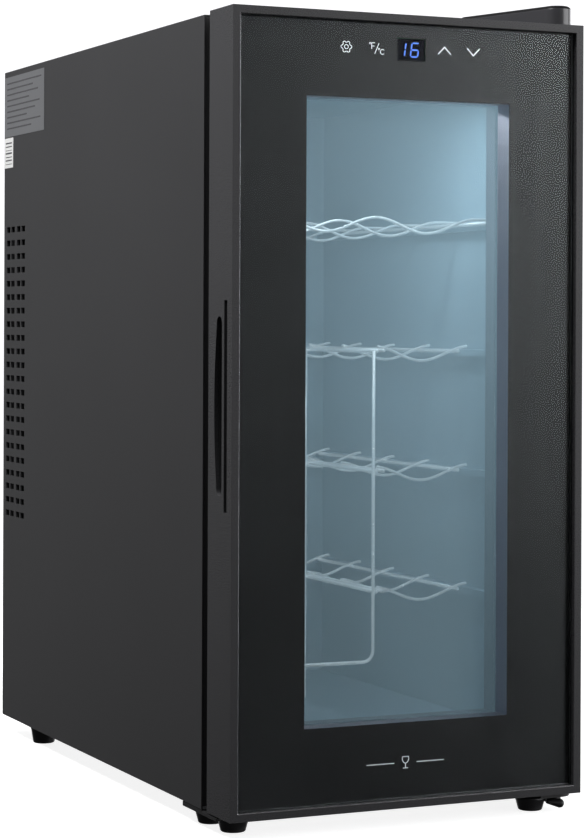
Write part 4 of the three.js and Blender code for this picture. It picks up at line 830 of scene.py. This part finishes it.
def display():
    bm = bmesh.new()
    digit(bm, "bc", (DISPLAY_X - 7.6 * MM, KEY_ROW), 2.9, 4.9, 1.0)
    digit(bm, "acdefg", (DISPLAY_X + 3.0 * MM, KEY_ROW), 2.9, 4.9, 1.0)
    bmesh.ops.translate(bm, vec=(0, DISPLAY_LOW.y - PRINT_Y - 0.02 * MM, 0), verts=bm.verts)
    return piece("display_digits", bm, "display_face", "door", look=DIGIT_GLOW, smooth=False)


display()

EMBLEM = [
    ([(-31, 0), (-9, 0)], 0.55, False),
    ([(9, 0), (31, 0)], 0.55, False),
    ([(-2.4, 4.2), (-2.6, 2.2), (-1.6, 0.2), (0, -0.6), (1.6, 0.2), (2.6, 2.2), (2.4, 4.2)], 0.5, True),
    ([(0, -0.6), (0, -3.6)], 0.5, False),
    ([(-2.0, -3.9), (2.0, -3.9)], 0.5, False),
]
marks("door_emblem", EMBLEM, EMBLEM_PAINTED_GLOW, (-1.5 * MM, MASK_LOW.z + 25 * MM))

# ---------------------------------------------------------------- labels on the side


# Lengths of the bars on the rating label and heights of those on the serial label, in millimetres.
RATING_BARS = (92, 70, 84, 60, 88, 76, 54, 90, 66)
SERIAL_BARS = (0.5, 1.1, 0.7, 1.4, 0.5, 0.9, 1.2)


def side_plate(name, y, z, out, look):
    bm = bmesh.new()
    box_mesh(bm, (SHELL_LOW.x - out, y[0], z[0]), (SHELL_LOW.x + 0.1 * MM, y[1], z[1]))
    return piece(name, bm, "cabinet_paint", "cabinet", look=look, smooth=False)


def side_labels():
    """A foil rating label and a paper serial label, with plain bars where real ones have print."""
    back = SHELL_HIGH.y
    foil_y, foil_z = (back - 107 * MM, back - 1.5 * MM), (SHELL_LOW.z + 505 * MM, SHELL_LOW.z + 557 * MM)
    side_plate("rating_label", foil_y, foil_z, 0.15 * MM, LABEL_FOIL)
    for row, bar_length in enumerate(RATING_BARS):
        z = foil_z[1] - (5 + row * 4.9) * MM
        length = bar_length * MM
        start = foil_y[1] - 6 * MM - length
        side_plate(f"rating_bar_{row + 1}", (start, start + length), (z - 1.3 * MM, z), 0.2 * MM, LABEL_INK)
    paper_y, paper_z = (back - 24 * MM, back - 1 * MM), (SHELL_LOW.z + 478 * MM, SHELL_LOW.z + 504 * MM)
    side_plate("serial_label", paper_y, paper_z, 0.15 * MM, LABEL_PAPER)
    for row, bar_height in enumerate(SERIAL_BARS):
        z = paper_z[0] + (3 + row * 3) * MM
        thick = bar_height * MM
        bar_y = (paper_y[0] + 3 * MM, paper_y[1] - 3 * MM)
        side_plate(f"serial_bar_{row + 1}", bar_y, (z, z + thick), 0.2 * MM, LABEL_INK)


side_labels()

# ---------------------------------------------------------------- stage, light and camera


FLOOR_RADIUS = 9
FLOOR_GLOW = 0.86
FLOOR_FADE_START = 0.7
FLOOR_FADE_END = 1.5


def floor():
    """A pale floor that fades out far from the object, so that it meets the backdrop with no edge."""
    bm = bmesh.new()
    bmesh.ops.create_circle(bm, cap_ends=True, segments=96, radius=FLOOR_RADIUS)
    mesh = bpy.data.meshes.new("floor")
    bm.to_mesh(mesh)
    bm.free()
    made = bpy.data.objects.new("floor", mesh)
    bpy.context.scene.collection.objects.link(made)
    look, tree, shader = material("floor")
    shader.inputs["Base Color"].default_value = (0.5, 0.5, 0.5, 1)
    shader.inputs["Roughness"].default_value = 0.8
    shader.inputs["Specular IOR Level"].default_value = 0.1
    shader.inputs["Emission Color"].default_value = (1, 1, 1, 1)
    shader.inputs["Emission Strength"].default_value = FLOOR_GLOW
    place = add_node(tree, "ShaderNodeTexCoord")
    length = add_node(tree, "ShaderNodeVectorMath", operation="LENGTH")
    fade = add_node(tree, "ShaderNodeMapRange")
    fade.inputs["From Min"].default_value = FLOOR_FADE_START
    fade.inputs["From Max"].default_value = FLOOR_FADE_END
    fade.inputs["To Min"].default_value = 1.0
    fade.inputs["To Max"].default_value = 0.0
    tree.links.new(place.outputs["Object"], length.inputs[0])
    tree.links.new(length.outputs["Value"], fade.inputs["Value"])
    tree.links.new(fade.outputs["Result"], shader.inputs["Alpha"])
    mesh.materials.append(look)
    made.visible_diffuse = False
    made.visible_glossy = False
    made.visible_transmission = False


# Each glow: its direction, the cosines of its outer and inner edge, and its strength.
GLOWS = {
    "front_right": ((0.8, -0.58, 0.24), 0.84, 0.96, 4.6),
    "front_fill": ((0.4, -0.85, 0.5), 0.7, 1.0, 0.4),
    "right": ((0.91, 0.41, 0.1), 0.88, 0.98, 2.4),
    "rear_left": ((-0.42, 0.85, 0.38), 0.8, 1.0, 0.2),
}
BACKDROP = 1.15
ROOM_GREY = 0.05


def lobe(tree, direction, low, high, dark, bright):
    """A soft patch of the room: dark outside one angle from a direction and bright inside another."""
    place = add_node(tree, "ShaderNodeTexCoord")
    towards = add_node(tree, "ShaderNodeVectorMath", operation="DOT_PRODUCT")
    towards.inputs[1].default_value = Vector(direction).normalized()
    glow = add_node(tree, "ShaderNodeMapRange", interpolation_type="SMOOTHERSTEP")
    glow.inputs["From Min"].default_value = low
    glow.inputs["From Max"].default_value = high
    glow.inputs["To Min"].default_value = dark
    glow.inputs["To Max"].default_value = bright
    tree.links.new(place.outputs["Generated"], towards.inputs[0])
    tree.links.new(towards.outputs["Value"], glow.inputs["Value"])
    return glow.outputs["Result"]


def surroundings():
    """A dim room lit by soft glows from a few sides, which is plain white where it is seen directly."""
    world = bpy.data.worlds.new("studio")
    bpy.context.scene.world = world
    world.use_nodes = True
    tree = world.node_tree
    background = tree.nodes["Background"]
    total = lobe(tree, (0.42, 0.9, 0), 0.7, 0.95, ROOM_GREY, BACKDROP)
    for direction, low, high, strength in GLOWS.values():
        added = add_node(tree, "ShaderNodeMath", operation="ADD")
        tree.links.new(total, added.inputs[0])
        tree.links.new(lobe(tree, direction, low, high, 0.0, strength), added.inputs[1])
        total = added.outputs["Value"]
    path = add_node(tree, "ShaderNodeLightPath")
    seen = add_node(tree, "ShaderNodeMix", data_type="FLOAT")
    seen.inputs["B"].default_value = BACKDROP
    tree.links.new(path.outputs["Is Camera Ray"], seen.inputs["Factor"])
    tree.links.new(total, seen.inputs["A"])
    tree.links.new(seen.outputs["Result"], background.inputs["Strength"])
    background.inputs["Color"].default_value = (0.98, 0.98, 1, 1)


def area_light(name, spot, target, size, power):
    data = bpy.data.lights.new(name, "AREA")
    data.shape = "RECTANGLE"
    data.size, data.size_y = size
    data.energy = power
    made = bpy.data.objects.new(name, data)
    bpy.context.scene.collection.objects.link(made)
    made.location = spot
    made.rotation_euler = (Vector(target) - Vector(spot)).to_track_quat("-Z", "Y").to_euler()
    return made


def lights():
    overhead = area_light("overhead", (0, 0.9, 3.2), (0, 0, 0), (3, 3), 95)
    overhead.visible_glossy = False
    area_light("side_wash", (-0.62, -0.24, 1.3), (-0.14, -0.14, 0.32), (0.5, 0.5), 25)
    lens_low, lens_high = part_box("led_lens")
    spot = (lens_low + lens_high) / 2
    under_lens = (0, spot.y, lens_low.z - 2 * MM)
    cabin = area_light("cabin", under_lens, (0, spot.y + 0.05, 0), (0.09, 0.012), 0.42)
    cabin.data.color = (0.8, 0.93, 1)


CAMERA_PLACE = (-0.8012, -1.8058, 0.3598)
CAMERA_TURN = -0.4281
CAMERA_ROLL = 0.0041
LENS = 105.26
LENS_SHIFT = -0.1167


def camera():
    """A level camera at the front left, with its lens shifted down."""
    data = bpy.data.cameras.new("camera")
    data.lens = LENS
    data.shift_y = LENS_SHIFT
    data.clip_start = 0.05
    made = bpy.data.objects.new("camera", data)
    bpy.context.scene.collection.objects.link(made)
    level = Matrix.Rotation(CAMERA_TURN, 4, "Z") @ Matrix.Rotation(math.pi / 2, 4, "X")
    turn = level @ Matrix.Rotation(CAMERA_ROLL, 4, "Z")
    made.matrix_world = Matrix.Translation(CAMERA_PLACE) @ turn
    bpy.context.scene.camera = made


floor()
surroundings()
lights()
camera()
bpy.context.scene.view_settings.view_transform = "Standard"
